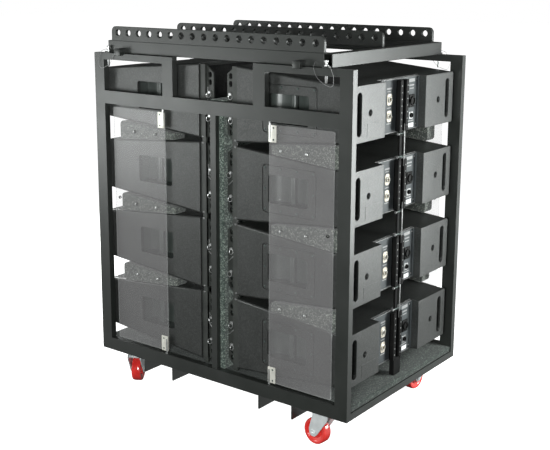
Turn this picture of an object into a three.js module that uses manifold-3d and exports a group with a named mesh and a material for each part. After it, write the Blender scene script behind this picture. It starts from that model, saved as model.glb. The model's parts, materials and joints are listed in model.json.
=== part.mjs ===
// Line array loudspeaker system in its touring rack: a welded steel rack on four casters, eight
// trapezoidal loudspeaker modules in two stacks of four, clear hinged doors that lock the stacks
// in, and the fly grid stored on top.  Millimetres, +Z up.  The origin is on the floor below the
// middle of the rack; +X runs along the wide side of the rack, +Y across it.
import * as THREE from "three";
import { mergeVertices } from "three/addons/utils/BufferGeometryUtils.js";
import Module from "manifold-3d";

const wasm = await Module();
wasm.setup();

// ---------------------------------------------------------------- driving dimensions
const TOUCH = 0.3;                 // gap kept between pieces that rest on each other

const RACK = { width: 1214, depth: 803, height: 1230 };
const CASTER_HEIGHT = 143;         // floor to the underside of the rack
const TUBE = { face: 52, depth: 26 };
const MID_RAIL = { bottom: 1031, height: 51 };
const MULLION_INNER = 191;         // half the width of the open bay between the two mullions
const CENTRE_UPRIGHT = { width: 26, depth: 20 };
const DECK_TOP = 48;
const DIVIDER = { width: 64, top: 1085 };

const FORK_GUIDE = { centres: [-369, -217, 217, 369], thick: 6, drop: 53 };
const CASTER_INSET = { x: 134, y: 58 };
const CASTER_PAD = { x: 100, y: 84, thick: 6 };
const WHEEL = { radius: 50, width: 38, hub: 24, hubProud: 3, crown: 5, bore: 6.6 };
const FORK = {
  trail: 30, race: 36, raceHeight: 14, crown: 32, legGap: 5, legThick: 4,
  eye: 14, eyeDrop: 15, axle: 6, nut: 10, nutHeight: 7, axleProud: 12,
};

const MODULE = {
  width: 716, depth: 492, frontHeight: 279, rearHeight: 194,
  wall: 15, cheek: 18, frontGap: 91, shiftY: -9, pitch: 290.5, firstCentre: 202,
};
const AMP_BAY = { width: 290, depth: 38, cutWidth: 262, cutHeight: 142 };
const HANDLE = {
  fromFront: 229, width: 175, height: 105, depth: 58, corner: 10, wall: 4, bar: 8, barDepth: 20,
};
const PORT_SLOT = { y: 312, width: 30, height: 150 };
const INSERT_HOLE = { y: 242, radius: 12 };
const WOOFER = { y: 208, basket: 96, surround: 8, dome: 22, magnet: 62, depth: 105 };
const HORN = { width: 150, throat: 30, depth: 120, wall: 5, driver: 52, driverDepth: 60 };
const BAFFLE = { set: 26, thick: 16 };
const GRILLE = { set: 8, lip: 14, thick: 2.5 };
const AMP_PANEL = { thick: 3, chassisDepth: 105, chassisGap: 2 };
const SIGNAL_SOCKET = { y: -62, heights: [25, -35], radius: 12, proud: 6 };
const MAINS_INLET = { y: 98, z: 6, radius: 17, proud: 9 };
const MAINS_LINK = { y: 98, z: -48, radius: 9, proud: 7 };

const FRONT_RIG = {
  edge: 6, strip: 27, web: 59, webSet: 10, webThick: 8, trim: 3, chamfer: { x: 40, z: 30 },
  foot: { x: 14, z: 20 }, holeInset: 18, holeRise: 60, hole: 9, linkSet: 8,
};
const REAR_RIG = {
  ahead: 14, depth: 22, half: 32, groove: 14, floor: 5, trim: 4, footHalf: 24, strutHalf: 8,
};

const DOOR = { outer: 527, inner: 251, bottom: 58, top: 1018, set: 17, thick: 5 };
const PIVOT = { x: 256, set: 14.5, radius: 4, reach: 10 };
const PIVOT_BRACKET = { width: 34, height: 62, thick: 3.5 };
const DOOR_BLOCK = { depth: 60, clearance: 2.5, round: 10 };
const BLOCK_NEAR_HINGE = { inner: 206, outer: 496 };
const BLOCK_NEAR_POST = { inner: 255, outer: 545 };

const GRID = {
  left: -548, right: 512, front: 20, back: 783, tubeWidth: 36, tubeHeight: 48, bottom: 1230.3,
  railThick: 12, railHeight: 55, railLeft: -527, railRight: 478, corner: 20,
  holes: 18, holePitch: 55, holeRadius: 12, holeZ: 31,
};
const GRID_HOOK = { xs: [-468, 385], half: 16, proud: 12, wrap: 2, gap: 1, low: 7, high: 19 };
const GRID_LUG = { half: 14, thick: 6, set: 2 };
const GRID_PIN = { xs: [-537, 494], set: 10, radius: 4.5, head: 8, headHeight: 20, below: 53 };
const PIN_CLEARANCE = 0.6;

// ---------------------------------------------------------------- materials
function paint(colour, roughness, metalness) {
  return new THREE.MeshStandardMaterial({ color: colour, roughness, metalness });
}
const FRAME_PAINT = paint(0x3a3b3b, 0.55, 0.3);
const CABINET_PAINT = paint(0x343434, 0.75, 0.0);
const RIGGING_STEEL = paint(0x1f1f20, 0.5, 0.4);
const CARPET = paint(0x3f4844, 1.0, 0.0);
const CLEAR_SHEET = paint(0xb9bcbc, 0.1, 0.0);
const ZINC = paint(0xc9cccd, 0.3, 0.9);
const RED_TYRE = paint(0xd22f2f, 0.4, 0.0);
const GRILLE_BLACK = paint(0x1a1a1a, 0.7, 0.2);
const DRIVER_BLACK = paint(0x262626, 0.8, 0.0);
const AMP_BLACK = paint(0x222324, 0.5, 0.5);

// ---------------------------------------------------------------- solids
function solidOf(geometry) {
  const bare = geometry.index ? geometry.toNonIndexed() : geometry.clone();
  bare.deleteAttribute("normal");
  bare.deleteAttribute("uv");
  const merged = mergeVertices(bare, 1e-3);
  return new wasm.Manifold(new wasm.Mesh({
    numProp: 3,
    vertProperties: new Float32Array(merged.attributes.position.array),
    triVerts: new Uint32Array(merged.index.array),
  }));
}

function geometryOf(solid) {
  const mesh = solid.getMesh();
  const geometry = new THREE.BufferGeometry();
  geometry.setAttribute("position", new THREE.BufferAttribute(mesh.vertProperties, 3));
  geometry.setIndex(new THREE.BufferAttribute(mesh.triVerts, 1));
  return geometry;
}

function box(x0, x1, y0, y1, z0, z1) {
  const geometry = new THREE.BoxGeometry(x1 - x0, y1 - y0, z1 - z0);
  geometry.translate((x0 + x1) / 2, (y0 + y1) / 2, (z0 + z1) / 2);
  return solidOf(geometry);
}

function joined(solids) {
  return solids.reduce((sum, next) => sum.add(next));
}

function ordered(a, b) {
  return a < b ? [a, b] : [b, a];
}

function cut(solid, tools) {
  return tools.reduce((rest, tool) => rest.subtract(tool), solid);
}

// A round bar from one point to another.
function rod(from, to, radius, sides = 8, endRadius = radius) {
  const start = new THREE.Vector3(...from);
  const along = new THREE.Vector3(...to).sub(start);
  const geometry = new THREE.CylinderGeometry(endRadius, radius, along.length(), sides);
  geometry.translate(0, along.length() / 2, 0);
  const upright = new THREE.Vector3(0, 1, 0);
  const turn = new THREE.Quaternion();
  turn.setFromUnitVectors(upright, along.clone().normalize());
  geometry.applyQuaternion(turn);
  geometry.translate(start.x, start.y, start.z);
  return solidOf(geometry);
}

// A flat outline drawn in X and Z, given a thickness along Y from y0 to y1.
function plateXZ(shape, y0, y1, curveSegments = 3) {
  const depth = y1 - y0;
  const geometry = new THREE.ExtrudeGeometry(shape, { depth, bevelEnabled: false, curveSegments });
  geometry.rotateX(Math.PI / 2);
  geometry.translate(0, y1, 0);
  return solidOf(geometry);
}

// A flat outline drawn in Y and Z, given a thickness along X from x0 to x1.
function plateYZ(shape, x0, x1, curveSegments = 3) {
  const depth = x1 - x0;
  const geometry = new THREE.ExtrudeGeometry(shape, { depth, bevelEnabled: false, curveSegments });
  geometry.rotateX(Math.PI / 2);
  geometry.rotateZ(Math.PI / 2);
  geometry.translate(x0, 0, 0);
  return solidOf(geometry);
}

function outline(points) {
  return new THREE.Shape(points.map(([a, b]) => new THREE.Vector2(a, b)));
}

function roundedRectangle(a0, a1, b0, b1, r) {
  const shape = new THREE.Shape();
  shape.moveTo(a0 + r, b0);
  shape.lineTo(a1 - r, b0);
  shape.absarc(a1 - r, b0 + r, r, -Math.PI / 2, 0);
  shape.lineTo(a1, b1 - r);
  shape.absarc(a1 - r, b1 - r, r, 0, Math.PI / 2);
  shape.lineTo(a0 + r, b1);
  shape.absarc(a0 + r, b1 - r, r, Math.PI / 2, Math.PI);
  shape.lineTo(a0, b0 + r);
  shape.absarc(a0 + r, b0 + r, r, Math.PI, 1.5 * Math.PI);
  return shape;
}

const machine = new THREE.Group();

function addMesh(parent, name, solid, material) {
  const mesh = new THREE.Mesh(geometryOf(solid), material);
  mesh.name = name;
  parent.add(mesh);
  return mesh;
}

// Everything on the rack is measured up from its underside.
const rack = new THREE.Group();
rack.position.z = CASTER_HEIGHT;
machine.add(rack);

const HALF_W = RACK.width / 2;
const HALF_D = RACK.depth / 2;
const INSIDE_D = HALF_D - TUBE.depth;

// Depth measured inwards from the front face (side -1) or the back face (side 1).
function yIn(side, set) {
  return side * (HALF_D - set);
}

function boxIn(side, x0, x1, set0, set1, z0, z1) {
  return box(x0, x1, ...ordered(yIn(side, set0), yIn(side, set1)), z0, z1);
}

// ---------------------------------------------------------------- steel frame
function endFrame(side) {
  const post = HALF_W - TUBE.face;
  const midTop = MID_RAIL.bottom + MID_RAIL.height;
  const mullionOuter = MULLION_INNER + TUBE.face;
  const bars = [
    boxIn(side, -post, post, 0, TUBE.depth, 0, TUBE.face),
    boxIn(side, -post, post, 0, TUBE.depth, MID_RAIL.bottom, midTop),
    boxIn(side, -CENTRE_UPRIGHT.width / 2, CENTRE_UPRIGHT.width / 2,
      TUBE.depth - CENTRE_UPRIGHT.depth, TUBE.depth, TUBE.face - 1, MID_RAIL.bottom + 1),
  ];
  for (const end of [-1, 1]) {
    const span = (a, b) => ordered(end * a, end * b);
    bars.push(boxIn(side, ...span(post, HALF_W), 0, TUBE.depth, 0, RACK.height));
    bars.push(boxIn(side, ...span(MULLION_INNER, mullionOuter), 0, TUBE.depth, midTop - 1, RACK.height));
    bars.push(boxIn(side, ...span(mullionOuter - 1, post + 1), 0, TUBE.depth,
      RACK.height - TUBE.depth, RACK.height));
  }
  return cut(joined(bars), [...pivotHoles(side), ...gridPinHoles(side)]);
}

function pivotHoles(side) {
  const y = yIn(side, PIVOT.set);
  const deep = PIVOT.reach + 2;
  const holes = [];
  for (const x of [-PIVOT.x, PIVOT.x]) {
    holes.push(rod([x, y, TUBE.face - deep], [x, y, TUBE.face + 1], PIVOT.radius + PIN_CLEARANCE));
    holes.push(rod([x, y, MID_RAIL.bottom - 1], [x, y, MID_RAIL.bottom + deep],
      PIVOT.radius + PIN_CLEARANCE));
  }
  return holes;
}

function gridPinHoles(side) {
  const y = yIn(side, GRID_PIN.set);
  const low = RACK.height - TUBE.depth - 1;
  const radius = GRID_PIN.radius + PIN_CLEARANCE;
  return GRID_PIN.xs.map((x) => rod([x, y, low], [x, y, RACK.height + 1], radius));
}

addMesh(rack, "front_frame", endFrame(-1), FRAME_PAINT);
addMesh(rack, "back_frame", endFrame(1), FRAME_PAINT);

// ---------------------------------------------------------------- base, deck and divider
const BASE_REACH = INSIDE_D - TOUCH;

function forkGuide(x) {
  const half = FORK_GUIDE.thick / 2;
  return box(x - half, x + half, -HALF_D + 2, HALF_D - 2, -FORK_GUIDE.drop, -TOUCH)
    .add(box(x - half, x + half, -BASE_REACH, BASE_REACH, -2, TUBE.depth / 2));
}

function casterPad(x, y) {
  const side = Math.sign(y);
  const link = ordered(side * BASE_REACH, side * (BASE_REACH - TUBE.face + 2));
  const halfX = CASTER_PAD.x / 2;
  const halfY = CASTER_PAD.y / 2;
  return box(x - halfX, x + halfX, y - halfY, y + halfY, -CASTER_PAD.thick, -TOUCH)
    .add(box(x - halfX, x + halfX, ...link, -1, 2));
}

const CASTERS = [
  { name: "front_left", x: -1, y: -1, yaw: 120 },
  { name: "front_right", x: 1, y: -1, yaw: 174 },
  { name: "back_left", x: -1, y: 1, yaw: 215 },
  { name: "back_right", x: 1, y: 1, yaw: 265 },
];

function casterPlace(caster) {
  return [caster.x * (HALF_W - CASTER_INSET.x), caster.y * (HALF_D - CASTER_INSET.y)];
}

function baseFrame() {
  const sideInner = HALF_W - TUBE.face;
  const bars = [];
  for (const end of [-1, 1]) {
    const xs = ordered(end * sideInner, end * HALF_W);
    const ys = ordered(end * (BASE_REACH - TUBE.face), end * BASE_REACH);
    bars.push(box(...xs, -BASE_REACH, BASE_REACH, 0, TUBE.depth));
    bars.push(box(-sideInner - 1, sideInner + 1, ...ys, 0, TUBE.depth));
  }
  bars.push(...FORK_GUIDE.centres.map(forkGuide));
  bars.push(...CASTERS.map((caster) => casterPad(...casterPlace(caster))));
  return joined(bars);
}

addMesh(rack, "base_frame", baseFrame(), FRAME_PAINT);
addMesh(rack, "deck_board",
  box(-HALF_W + 4, HALF_W - 4, -BASE_REACH, BASE_REACH, TUBE.depth + TOUCH, DECK_TOP), CARPET);
const HALF_DIVIDER = DIVIDER.width / 2;
addMesh(rack, "centre_divider",
  box(-HALF_DIVIDER, HALF_DIVIDER, -BASE_REACH, BASE_REACH, DECK_TOP + TOUCH, DIVIDER.top), CARPET);

// ---------------------------------------------------------------- casters
function wheelGeometry() {
  const half = WHEEL.width / 2;
  const hubEnd = half + WHEEL.hubProud;
  const edge = WHEEL.radius - WHEEL.crown;
  const profile = [
    [WHEEL.bore, -hubEnd], [WHEEL.hub, -hubEnd], [WHEEL.hub, -half], [edge, -half],
    [WHEEL.radius, -half + WHEEL.crown], [WHEEL.radius, half - WHEEL.crown], [edge, half],
    [WHEEL.hub, half], [WHEEL.hub, hubEnd], [WHEEL.bore, hubEnd], [WHEEL.bore, -hubEnd],
  ].map(([radius, along]) => new THREE.Vector2(radius, along));
  return new THREE.LatheGeometry(profile, 20);
}

// The fork hangs from the swivel race; local X points from the swivel axis to the wheel's axle.
function forkSolid() {
  const top = CASTER_HEIGHT - CASTER_PAD.thick - TOUCH;
  const crownTop = top - FORK.raceHeight + 2;
  const inside = WHEEL.width / 2 + FORK.legGap;
  const outside = inside + FORK.legThick;
  const legOutline = outline([
    [-FORK.crown, crownTop], [-FORK.crown + 2, crownTop - 14],
    [FORK.trail - FORK.eye, WHEEL.radius - FORK.eyeDrop / 2],
    [FORK.trail - FORK.eye / 2, WHEEL.radius - FORK.eyeDrop],
    [FORK.trail + FORK.eye / 2, WHEEL.radius - FORK.eyeDrop],
    [FORK.trail + FORK.eye, WHEEL.radius - FORK.eyeDrop / 2],
    [FORK.trail + FORK.eye, WHEEL.radius + FORK.eye], [FORK.crown, crownTop],
  ]);
  const across = (from, to, radius, sides) => rod([FORK.trail, from, WHEEL.radius],
    [FORK.trail, to, WHEEL.radius], radius, sides);
  const solids = [
    rod([0, 0, top - FORK.raceHeight], [0, 0, top], FORK.race, 16),
    box(-FORK.crown, FORK.crown + 2, -outside, outside, crownTop - 6, crownTop),
    across(-inside - FORK.axleProud, inside + FORK.axleProud, FORK.axle, 8),
  ];
  for (const end of [-1, 1]) {
    solids.push(plateXZ(legOutline, ...ordered(end * inside, end * outside)));
    solids.push(across(end * (outside - 1), end * (outside - 1 + FORK.nutHeight), FORK.nut, 6));
  }
  return joined(solids);
}

function addCaster(caster) {
  const [x, y] = casterPlace(caster);
  const swivel = new THREE.Group();
  swivel.position.set(x, y, 0);
  swivel.rotation.z = THREE.MathUtils.degToRad(caster.yaw);
  machine.add(swivel);
  addMesh(swivel, `caster_${caster.name}_fork`, forkSolid(), ZINC);
  const wheel = new THREE.Mesh(wheelGeometry(), RED_TYRE);
  wheel.name = `caster_${caster.name}_wheel`;
  wheel.position.set(FORK.trail, 0, WHEEL.radius);
  swivel.add(wheel);
}

CASTERS.forEach(addCaster);

// ---------------------------------------------------------------- loudspeaker modules
// Local frame of a module: x from its front edge towards its rear, z up from its middle height.
const TAPER = (MODULE.frontHeight - MODULE.rearHeight) / 2 / MODULE.depth;

function halfHeight(x) {
  return MODULE.frontHeight / 2 - TAPER * x;
}

function wedge(x0, x1, y0, y1, inset) {
  const shape = outline([
    [x0, -halfHeight(x0) + inset], [x1, -halfHeight(x1) + inset],
    [x1, halfHeight(x1) - inset], [x0, halfHeight(x0) - inset],
  ]);
  return plateXZ(shape, y0, y1);
}

// A handle is a walled pocket in the cheek with an upright bar across it.
function handleCup(side) {
  const halfWidth = MODULE.width / 2;
  const outer = side * halfWidth;
  const x = HANDLE.fromFront;
  const halfX = HANDLE.width / 2;
  const halfZ = HANDLE.height / 2;
  const pocket = roundedRectangle(x - halfX, x + halfX, -halfZ, halfZ, HANDLE.corner);
  const shellX = halfX + HANDLE.wall;
  const shellZ = halfZ + HANDLE.wall;
  const shellYs = ordered(side * (halfWidth - HANDLE.depth - HANDLE.wall), side * (halfWidth - 2));
  const shell = box(x - shellX, x + shellX, ...shellYs, -shellZ, shellZ);
  const hollow = plateXZ(pocket, ...ordered(outer - side * HANDLE.depth, outer + side), 1);
  const barY = outer - side * (HANDLE.barDepth + HANDLE.bar);
  const reach = halfZ + HANDLE.wall / 2;
  const bar = rod([x, barY, -reach], [x, barY, reach], HANDLE.bar, 6);
  return { shell, hollow, bar };
}

// The port slots and the threaded inserts go through the rear wall at each side of the panel.
function rearWallTools(side, from, to) {
  const y = side * PORT_SLOT.y;
  const halfSlot = PORT_SLOT.width / 2;
  const slot = roundedRectangle(y - halfSlot, y + halfSlot,
    -PORT_SLOT.height / 2, PORT_SLOT.height / 2, halfSlot - 0.1);
  const insert = rod([from, side * INSERT_HOLE.y, 0], [to, side * INSERT_HOLE.y, 0], INSERT_HOLE.radius);
  return [plateYZ(slot, from, to, 1), insert];
}

function enclosureSolid() {
  const halfWidth = MODULE.width / 2;
  const halfBay = AMP_BAY.width / 2;
  const halfCut = AMP_BAY.cutWidth / 2;
  const bayFloor = MODULE.depth - AMP_BAY.depth;
  const bayBack = bayFloor - MODULE.wall;
  const rearInside = MODULE.depth - MODULE.wall;
  const tall = MODULE.frontHeight;
  const cavity = wedge(-1, rearInside, -halfWidth + MODULE.cheek, halfWidth - MODULE.cheek, MODULE.wall);
  const bayWall = box(bayBack, MODULE.depth, -halfBay - MODULE.wall, halfBay + MODULE.wall, -tall, tall);
  const body = wedge(0, MODULE.depth, -halfWidth, halfWidth, 0).subtract(cavity.subtract(bayWall));
  const cups = [handleCup(-1), handleCup(1)];
  const tools = [
    ...cups.map((cup) => cup.hollow),
    box(bayFloor, MODULE.depth + 1, -halfBay, halfBay, -tall, tall),
    box(bayBack - 1, bayFloor + 1, -halfCut, halfCut, -AMP_BAY.cutHeight / 2, AMP_BAY.cutHeight / 2),
    ...rearWallTools(-1, rearInside - 1, MODULE.depth + 1),
    ...rearWallTools(1, rearInside - 1, MODULE.depth + 1),
  ];
  const shell = cut(joined([body, ...cups.map((cup) => cup.shell)]), tools);
  return joined([shell, ...cups.map((cup) => cup.bar)]);
}

function wooferSolids(y) {
  const front = BAFFLE.set + BAFFLE.thick;
  const along = (from, to, radius, endRadius) => rod([from, y, 0], [to, y, 0], radius, 12, endRadius);
  const basket = along(front - 2, front + WOOFER.depth * 0.6, WOOFER.basket, WOOFER.magnet);
  const magnet = along(front + WOOFER.depth * 0.5, front + WOOFER.depth, WOOFER.magnet);
  const cone = along(BAFFLE.set - 1, front + WOOFER.depth * 0.35,
    WOOFER.basket - WOOFER.surround, WOOFER.dome);
  return { basket, magnet, cone };
}

// A square horn flare narrowing from its mouth at "from" to its throat at "to".
function hornFlare(grow, from, to) {
  const mouthCorner = HORN.width / 2 * Math.SQRT2 + grow;
  const geometry = new THREE.CylinderGeometry(HORN.throat + grow, mouthCorner, to - from, 4);
  geometry.rotateY(Math.PI / 4);
  geometry.rotateZ(-Math.PI / 2);
  geometry.translate((from + to) / 2, 0, 0);
  return solidOf(geometry);
}

function hornSolids() {
  const front = BAFFLE.set;
  const back = front + HORN.depth;
  const body = hornFlare(HORN.wall, front + 4, back);
  const mouth = hornFlare(0, front - 1, back - HORN.wall - 1);
  const driver = rod([back - 4, 0, 0], [back + HORN.driverDepth, 0, 0], HORN.driver, 12);
  return { body, mouth, driver };
}

function baffleSolid() {
  const halfWidth = MODULE.width / 2 - MODULE.cheek - TOUCH;
  const board = wedge(BAFFLE.set, BAFFLE.set + BAFFLE.thick, -halfWidth, halfWidth, MODULE.wall + TOUCH);
  const woofers = [wooferSolids(-WOOFER.y), wooferSolids(WOOFER.y)];
  const horn = hornSolids();
  const solids = [board, horn.body, horn.driver];
  woofers.forEach((woofer) => solids.push(woofer.basket, woofer.magnet));
  return cut(joined(solids), [horn.mouth, ...woofers.map((woofer) => woofer.cone)]);
}

function grilleSolid() {
  const halfWidth = MODULE.width / 2 - MODULE.cheek - 1;
  const tray = wedge(GRILLE.set, GRILLE.set + GRILLE.lip, -halfWidth, halfWidth, MODULE.wall + 1);
  const inside = wedge(GRILLE.set + GRILLE.thick, GRILLE.set + GRILLE.lip + 1,
    -halfWidth + GRILLE.thick, halfWidth - GRILLE.thick, MODULE.wall + 1 + GRILLE.thick);
  return tray.subtract(inside);
}

// Amplifier chassis behind its control panel, with the two signal sockets on one side of the
// panel and the mains inlet and link socket on the other.
function amplifierSolid() {
  const panelBack = MODULE.depth - AMP_BAY.depth + TOUCH;
  const panelFront = panelBack + AMP_PANEL.thick;
  const halfPanel = AMP_BAY.width / 2 - 1;
  const panelZ = halfHeight(panelFront) - 3;
  const chassisY = AMP_BAY.cutWidth / 2 - AMP_PANEL.chassisGap;
  const chassisZ = AMP_BAY.cutHeight / 2 - AMP_PANEL.chassisGap;
  const socket = ({ y, z, radius, proud }) => rod([panelFront - 1, y, z], [panelFront + proud, y, z],
    radius, 10);
  return joined([
    box(panelBack, panelFront, -halfPanel, halfPanel, -panelZ, panelZ),
    box(panelBack - AMP_PANEL.chassisDepth, panelBack + 1, -chassisY, chassisY, -chassisZ, chassisZ),
    ...SIGNAL_SOCKET.heights.map((z) => socket({ ...SIGNAL_SOCKET, z })),
    socket(MAINS_INLET),
    socket(MAINS_LINK),
  ]);
}

const MODULE_PIECES = [
  ["enclosure", enclosureSolid(), CABINET_PAINT],
  ["driver_baffle", baffleSolid(), DRIVER_BLACK],
  ["grille", grilleSolid(), GRILLE_BLACK],
  ["amplifier", amplifierSolid(), AMP_BLACK],
];
const STACKS = [{ name: "left", turn: Math.PI, side: -1 }, { name: "right", turn: 0, side: 1 }];
const LEVELS = [0, 1, 2, 3];

function levelHeight(level) {
  return MODULE.firstCentre + level * MODULE.pitch;
}

for (const stack of STACKS) {
  for (const level of LEVELS) {
    const module = new THREE.Group();
    module.position.set(stack.side * MODULE.frontGap, MODULE.shiftY, levelHeight(level));
    module.rotation.z = stack.turn;
    rack.add(module);
    for (const [piece, solid, material] of MODULE_PIECES) {
      addMesh(module, `module_${stack.name}_${level + 1}_${piece}`, solid, material);
    }
  }
}

// ---------------------------------------------------------------- rigging columns

// Front rigging of one side of a stack: a plate on each module and the pinned links between them.
function frontRiggingSolid(side) {
  const rig = FRONT_RIG;
  const edge = side * (MODULE.width / 2 - rig.edge);
  const span = (set0, set1) => ordered(edge - side * set0, edge - side * set1);
  const webYs = span(rig.webSet, rig.webSet + rig.webThick);
  const holeYs = span(rig.webSet - 1, rig.webSet + rig.webThick + 1);
  const holeX = -rig.web + rig.holeInset;
  const half = MODULE.frontHeight / 2 - rig.trim;
  const solids = [];
  const holes = [];
  for (const z of LEVELS.map(levelHeight)) {
    const web = outline([
      [-TOUCH, z - half], [-rig.web + rig.foot.x, z - half], [-rig.web, z - half + rig.foot.z],
      [-rig.web, z + half - rig.chamfer.z], [-rig.web + rig.chamfer.x, z + half], [-TOUCH, z + half],
    ]);
    solids.push(plateXZ(web, ...webYs));
    solids.push(box(-rig.strip, -TOUCH, ...span(0, rig.webSet + 1), z - half, z + half));
    for (const holeZ of [z - rig.holeRise, z + rig.holeRise]) {
      holes.push(rod([holeX, holeYs[0], holeZ], [holeX, holeYs[1], holeZ], rig.hole));
    }
  }
  const linkTop = levelHeight(LEVELS.length - 1);
  solids.push(box(-rig.strip, -rig.linkSet, ...span(2, rig.webSet + 2), DECK_TOP + TOUCH, linkTop));
  return cut(joined(solids), holes);
}

// Rear rigging: a channel over each amplifier panel, joined by a strut between the modules.
function rearRiggingSolid() {
  const rig = REAR_RIG;
  const back = MODULE.depth - AMP_BAY.depth + rig.ahead;
  const front = back + rig.depth;
  const half = MODULE.rearHeight / 2 - rig.trim;
  const bottom = levelHeight(0) - half;
  const channels = LEVELS.map(levelHeight).map((z) => {
    const channel = box(back, front, -rig.half, rig.half, z - half, z + half);
    return channel.subtract(
      box(back + rig.floor, front + 1, -rig.groove, rig.groove, z - half - 1, z + half + 1));
  });
  const foot = box(back, front, -rig.footHalf, rig.footHalf, DECK_TOP + TOUCH, bottom + rig.trim);
  const strut = box(back + 1, back + rig.floor + rig.trim, -rig.strutHalf, rig.strutHalf,
    levelHeight(0), levelHeight(LEVELS.length - 1));
  return joined([...channels, foot, strut]);
}

for (const stack of STACKS) {
  const frame = new THREE.Group();
  frame.position.set(stack.side * MODULE.frontGap, MODULE.shiftY, 0);
  frame.rotation.z = stack.turn;
  rack.add(frame);
  const near = -stack.side;
  addMesh(frame, `rigging_${stack.name}_front_near`, frontRiggingSolid(near), RIGGING_STEEL);
  addMesh(frame, `rigging_${stack.name}_front_far`, frontRiggingSolid(-near), RIGGING_STEEL);
  addMesh(frame, `rigging_${stack.name}_rear`, rearRiggingSolid(), RIGGING_STEEL);
}

// ---------------------------------------------------------------- clear doors
// "sign" says which half of the rack a door covers, -1 left or 1 right, and "side" which face it is
// on.  A wedge block fills the gap between two modules.  The two doors of one face are not mirror
// copies: the blocks of one sit near its hinge and those of the other near the corner post.
function blockSolid(gapIndex, sign, side) {
  const { inner, outer } = sign * side > 0 ? BLOCK_NEAR_HINGE : BLOCK_NEAR_POST;
  const middle = (levelHeight(gapIndex) + levelHeight(gapIndex + 1)) / 2;
  const halfGap = (x) => MODULE.pitch / 2 - halfHeight(x - MODULE.frontGap) - DOOR_BLOCK.clearance;
  const round = DOOR_BLOCK.round;
  const upper = [
    [inner, halfGap(inner)], [outer - round, halfGap(outer - round)], [outer, halfGap(outer) - round],
  ];
  const lower = upper.map(([x, height]) => [x, -height]).reverse();
  const shape = outline([...upper, ...lower].map(([x, height]) => [sign * x, middle + height]));
  const face = DOOR.set + DOOR.thick;
  return plateXZ(shape, ...ordered(yIn(side, face - 1), yIn(side, face + DOOR_BLOCK.depth)));
}

// A pivot bracket wraps the sheet at one end of its hinge edge, with the pivot pin reaching into
// the rail beyond it.
function pivotSolids(sign, side, low, tip) {
  const high = low + PIVOT_BRACKET.height;
  const start = DOOR.inner - 1;
  const y = yIn(side, PIVOT.set);
  const pinLow = Math.min(low + PIVOT.reach, tip);
  const pinHigh = Math.max(high - PIVOT.reach, tip);
  return [
    boxIn(side, ...ordered(sign * start, sign * (start + PIVOT_BRACKET.width)),
      DOOR.set - PIVOT_BRACKET.thick, DOOR.set + 1, low, high),
    rod([sign * PIVOT.x, y, pinLow], [sign * PIVOT.x, y, pinHigh], PIVOT.radius),
  ];
}

function doorSolid(sign, side) {
  const sheetXs = ordered(sign * DOOR.inner, sign * DOOR.outer);
  return joined([
    boxIn(side, ...sheetXs, DOOR.set, DOOR.set + DOOR.thick, DOOR.bottom, DOOR.top),
    ...pivotSolids(sign, side, DOOR.bottom, TUBE.face - PIVOT.reach),
    ...pivotSolids(sign, side, DOOR.top - PIVOT_BRACKET.height, MID_RAIL.bottom + PIVOT.reach),
    ...[0, 1, 2].map((gap) => blockSolid(gap, sign, side)),
  ]);
}

for (const [face, side] of [["front", -1], ["back", 1]]) {
  for (const stack of STACKS) {
    addMesh(rack, `door_${face}_${stack.name}`, doorSolid(stack.side, side), CLEAR_SHEET);
  }
}

// ---------------------------------------------------------------- fly grid
// Depths in GRID are measured from the front face of the rack.
function gridY(set) {
  return set - HALF_D;
}

function pickupRail(set) {
  const low = GRID.bottom + GRID.tubeHeight - 1;
  const high = GRID.bottom + GRID.tubeHeight + GRID.railHeight;
  const r = GRID.corner;
  const shape = new THREE.Shape();
  shape.moveTo(GRID.railLeft, low);
  shape.lineTo(GRID.railRight, low);
  shape.lineTo(GRID.railRight, high - r);
  shape.absarc(GRID.railRight - r, high - r, r, 0, Math.PI / 2);
  shape.lineTo(GRID.railLeft + r, high);
  shape.absarc(GRID.railLeft + r, high - r, r, Math.PI / 2, Math.PI);
  const middle = (GRID.railLeft + GRID.railRight) / 2;
  for (let i = 0; i < GRID.holes; i += 1) {
    const hole = new THREE.Path();
    const x = middle + (i - (GRID.holes - 1) / 2) * GRID.holePitch;
    hole.absarc(x, low + 1 + GRID.holeZ, GRID.holeRadius, 0, 2 * Math.PI, true);
    shape.holes.push(hole);
  }
  return plateXZ(shape, gridY(set), gridY(set + GRID.railThick), 4);
}

// Two hooks on each long side hold the stored grid in place over the top rails.
function gridHooks(side) {
  const hook = GRID_HOOK;
  const high = RACK.height + hook.high;
  return hook.xs.flatMap((x) => [
    boxIn(side, x - hook.half, x + hook.half, -hook.proud, -hook.gap, RACK.height - hook.low, high),
    boxIn(side, x - hook.half, x + hook.half, -hook.wrap, GRID.front + 3, RACK.height + TOUCH, high),
  ]);
}

// A lug beside each corner of the grid takes the pin that holds it down.
function gridLugs(side) {
  const { half, thick, set } = GRID_LUG;
  return GRID_PIN.xs.map((x) => boxIn(side, x - half, x + half, set, GRID.front + 12,
    GRID.bottom, GRID.bottom + thick));
}

function lugHoles(side) {
  const y = yIn(side, GRID_PIN.set);
  return GRID_PIN.xs.map((x) => rod([x, y, GRID.bottom - 1], [x, y, GRID.bottom + GRID_LUG.thick + 1],
    GRID_PIN.radius + PIN_CLEARANCE));
}

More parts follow.
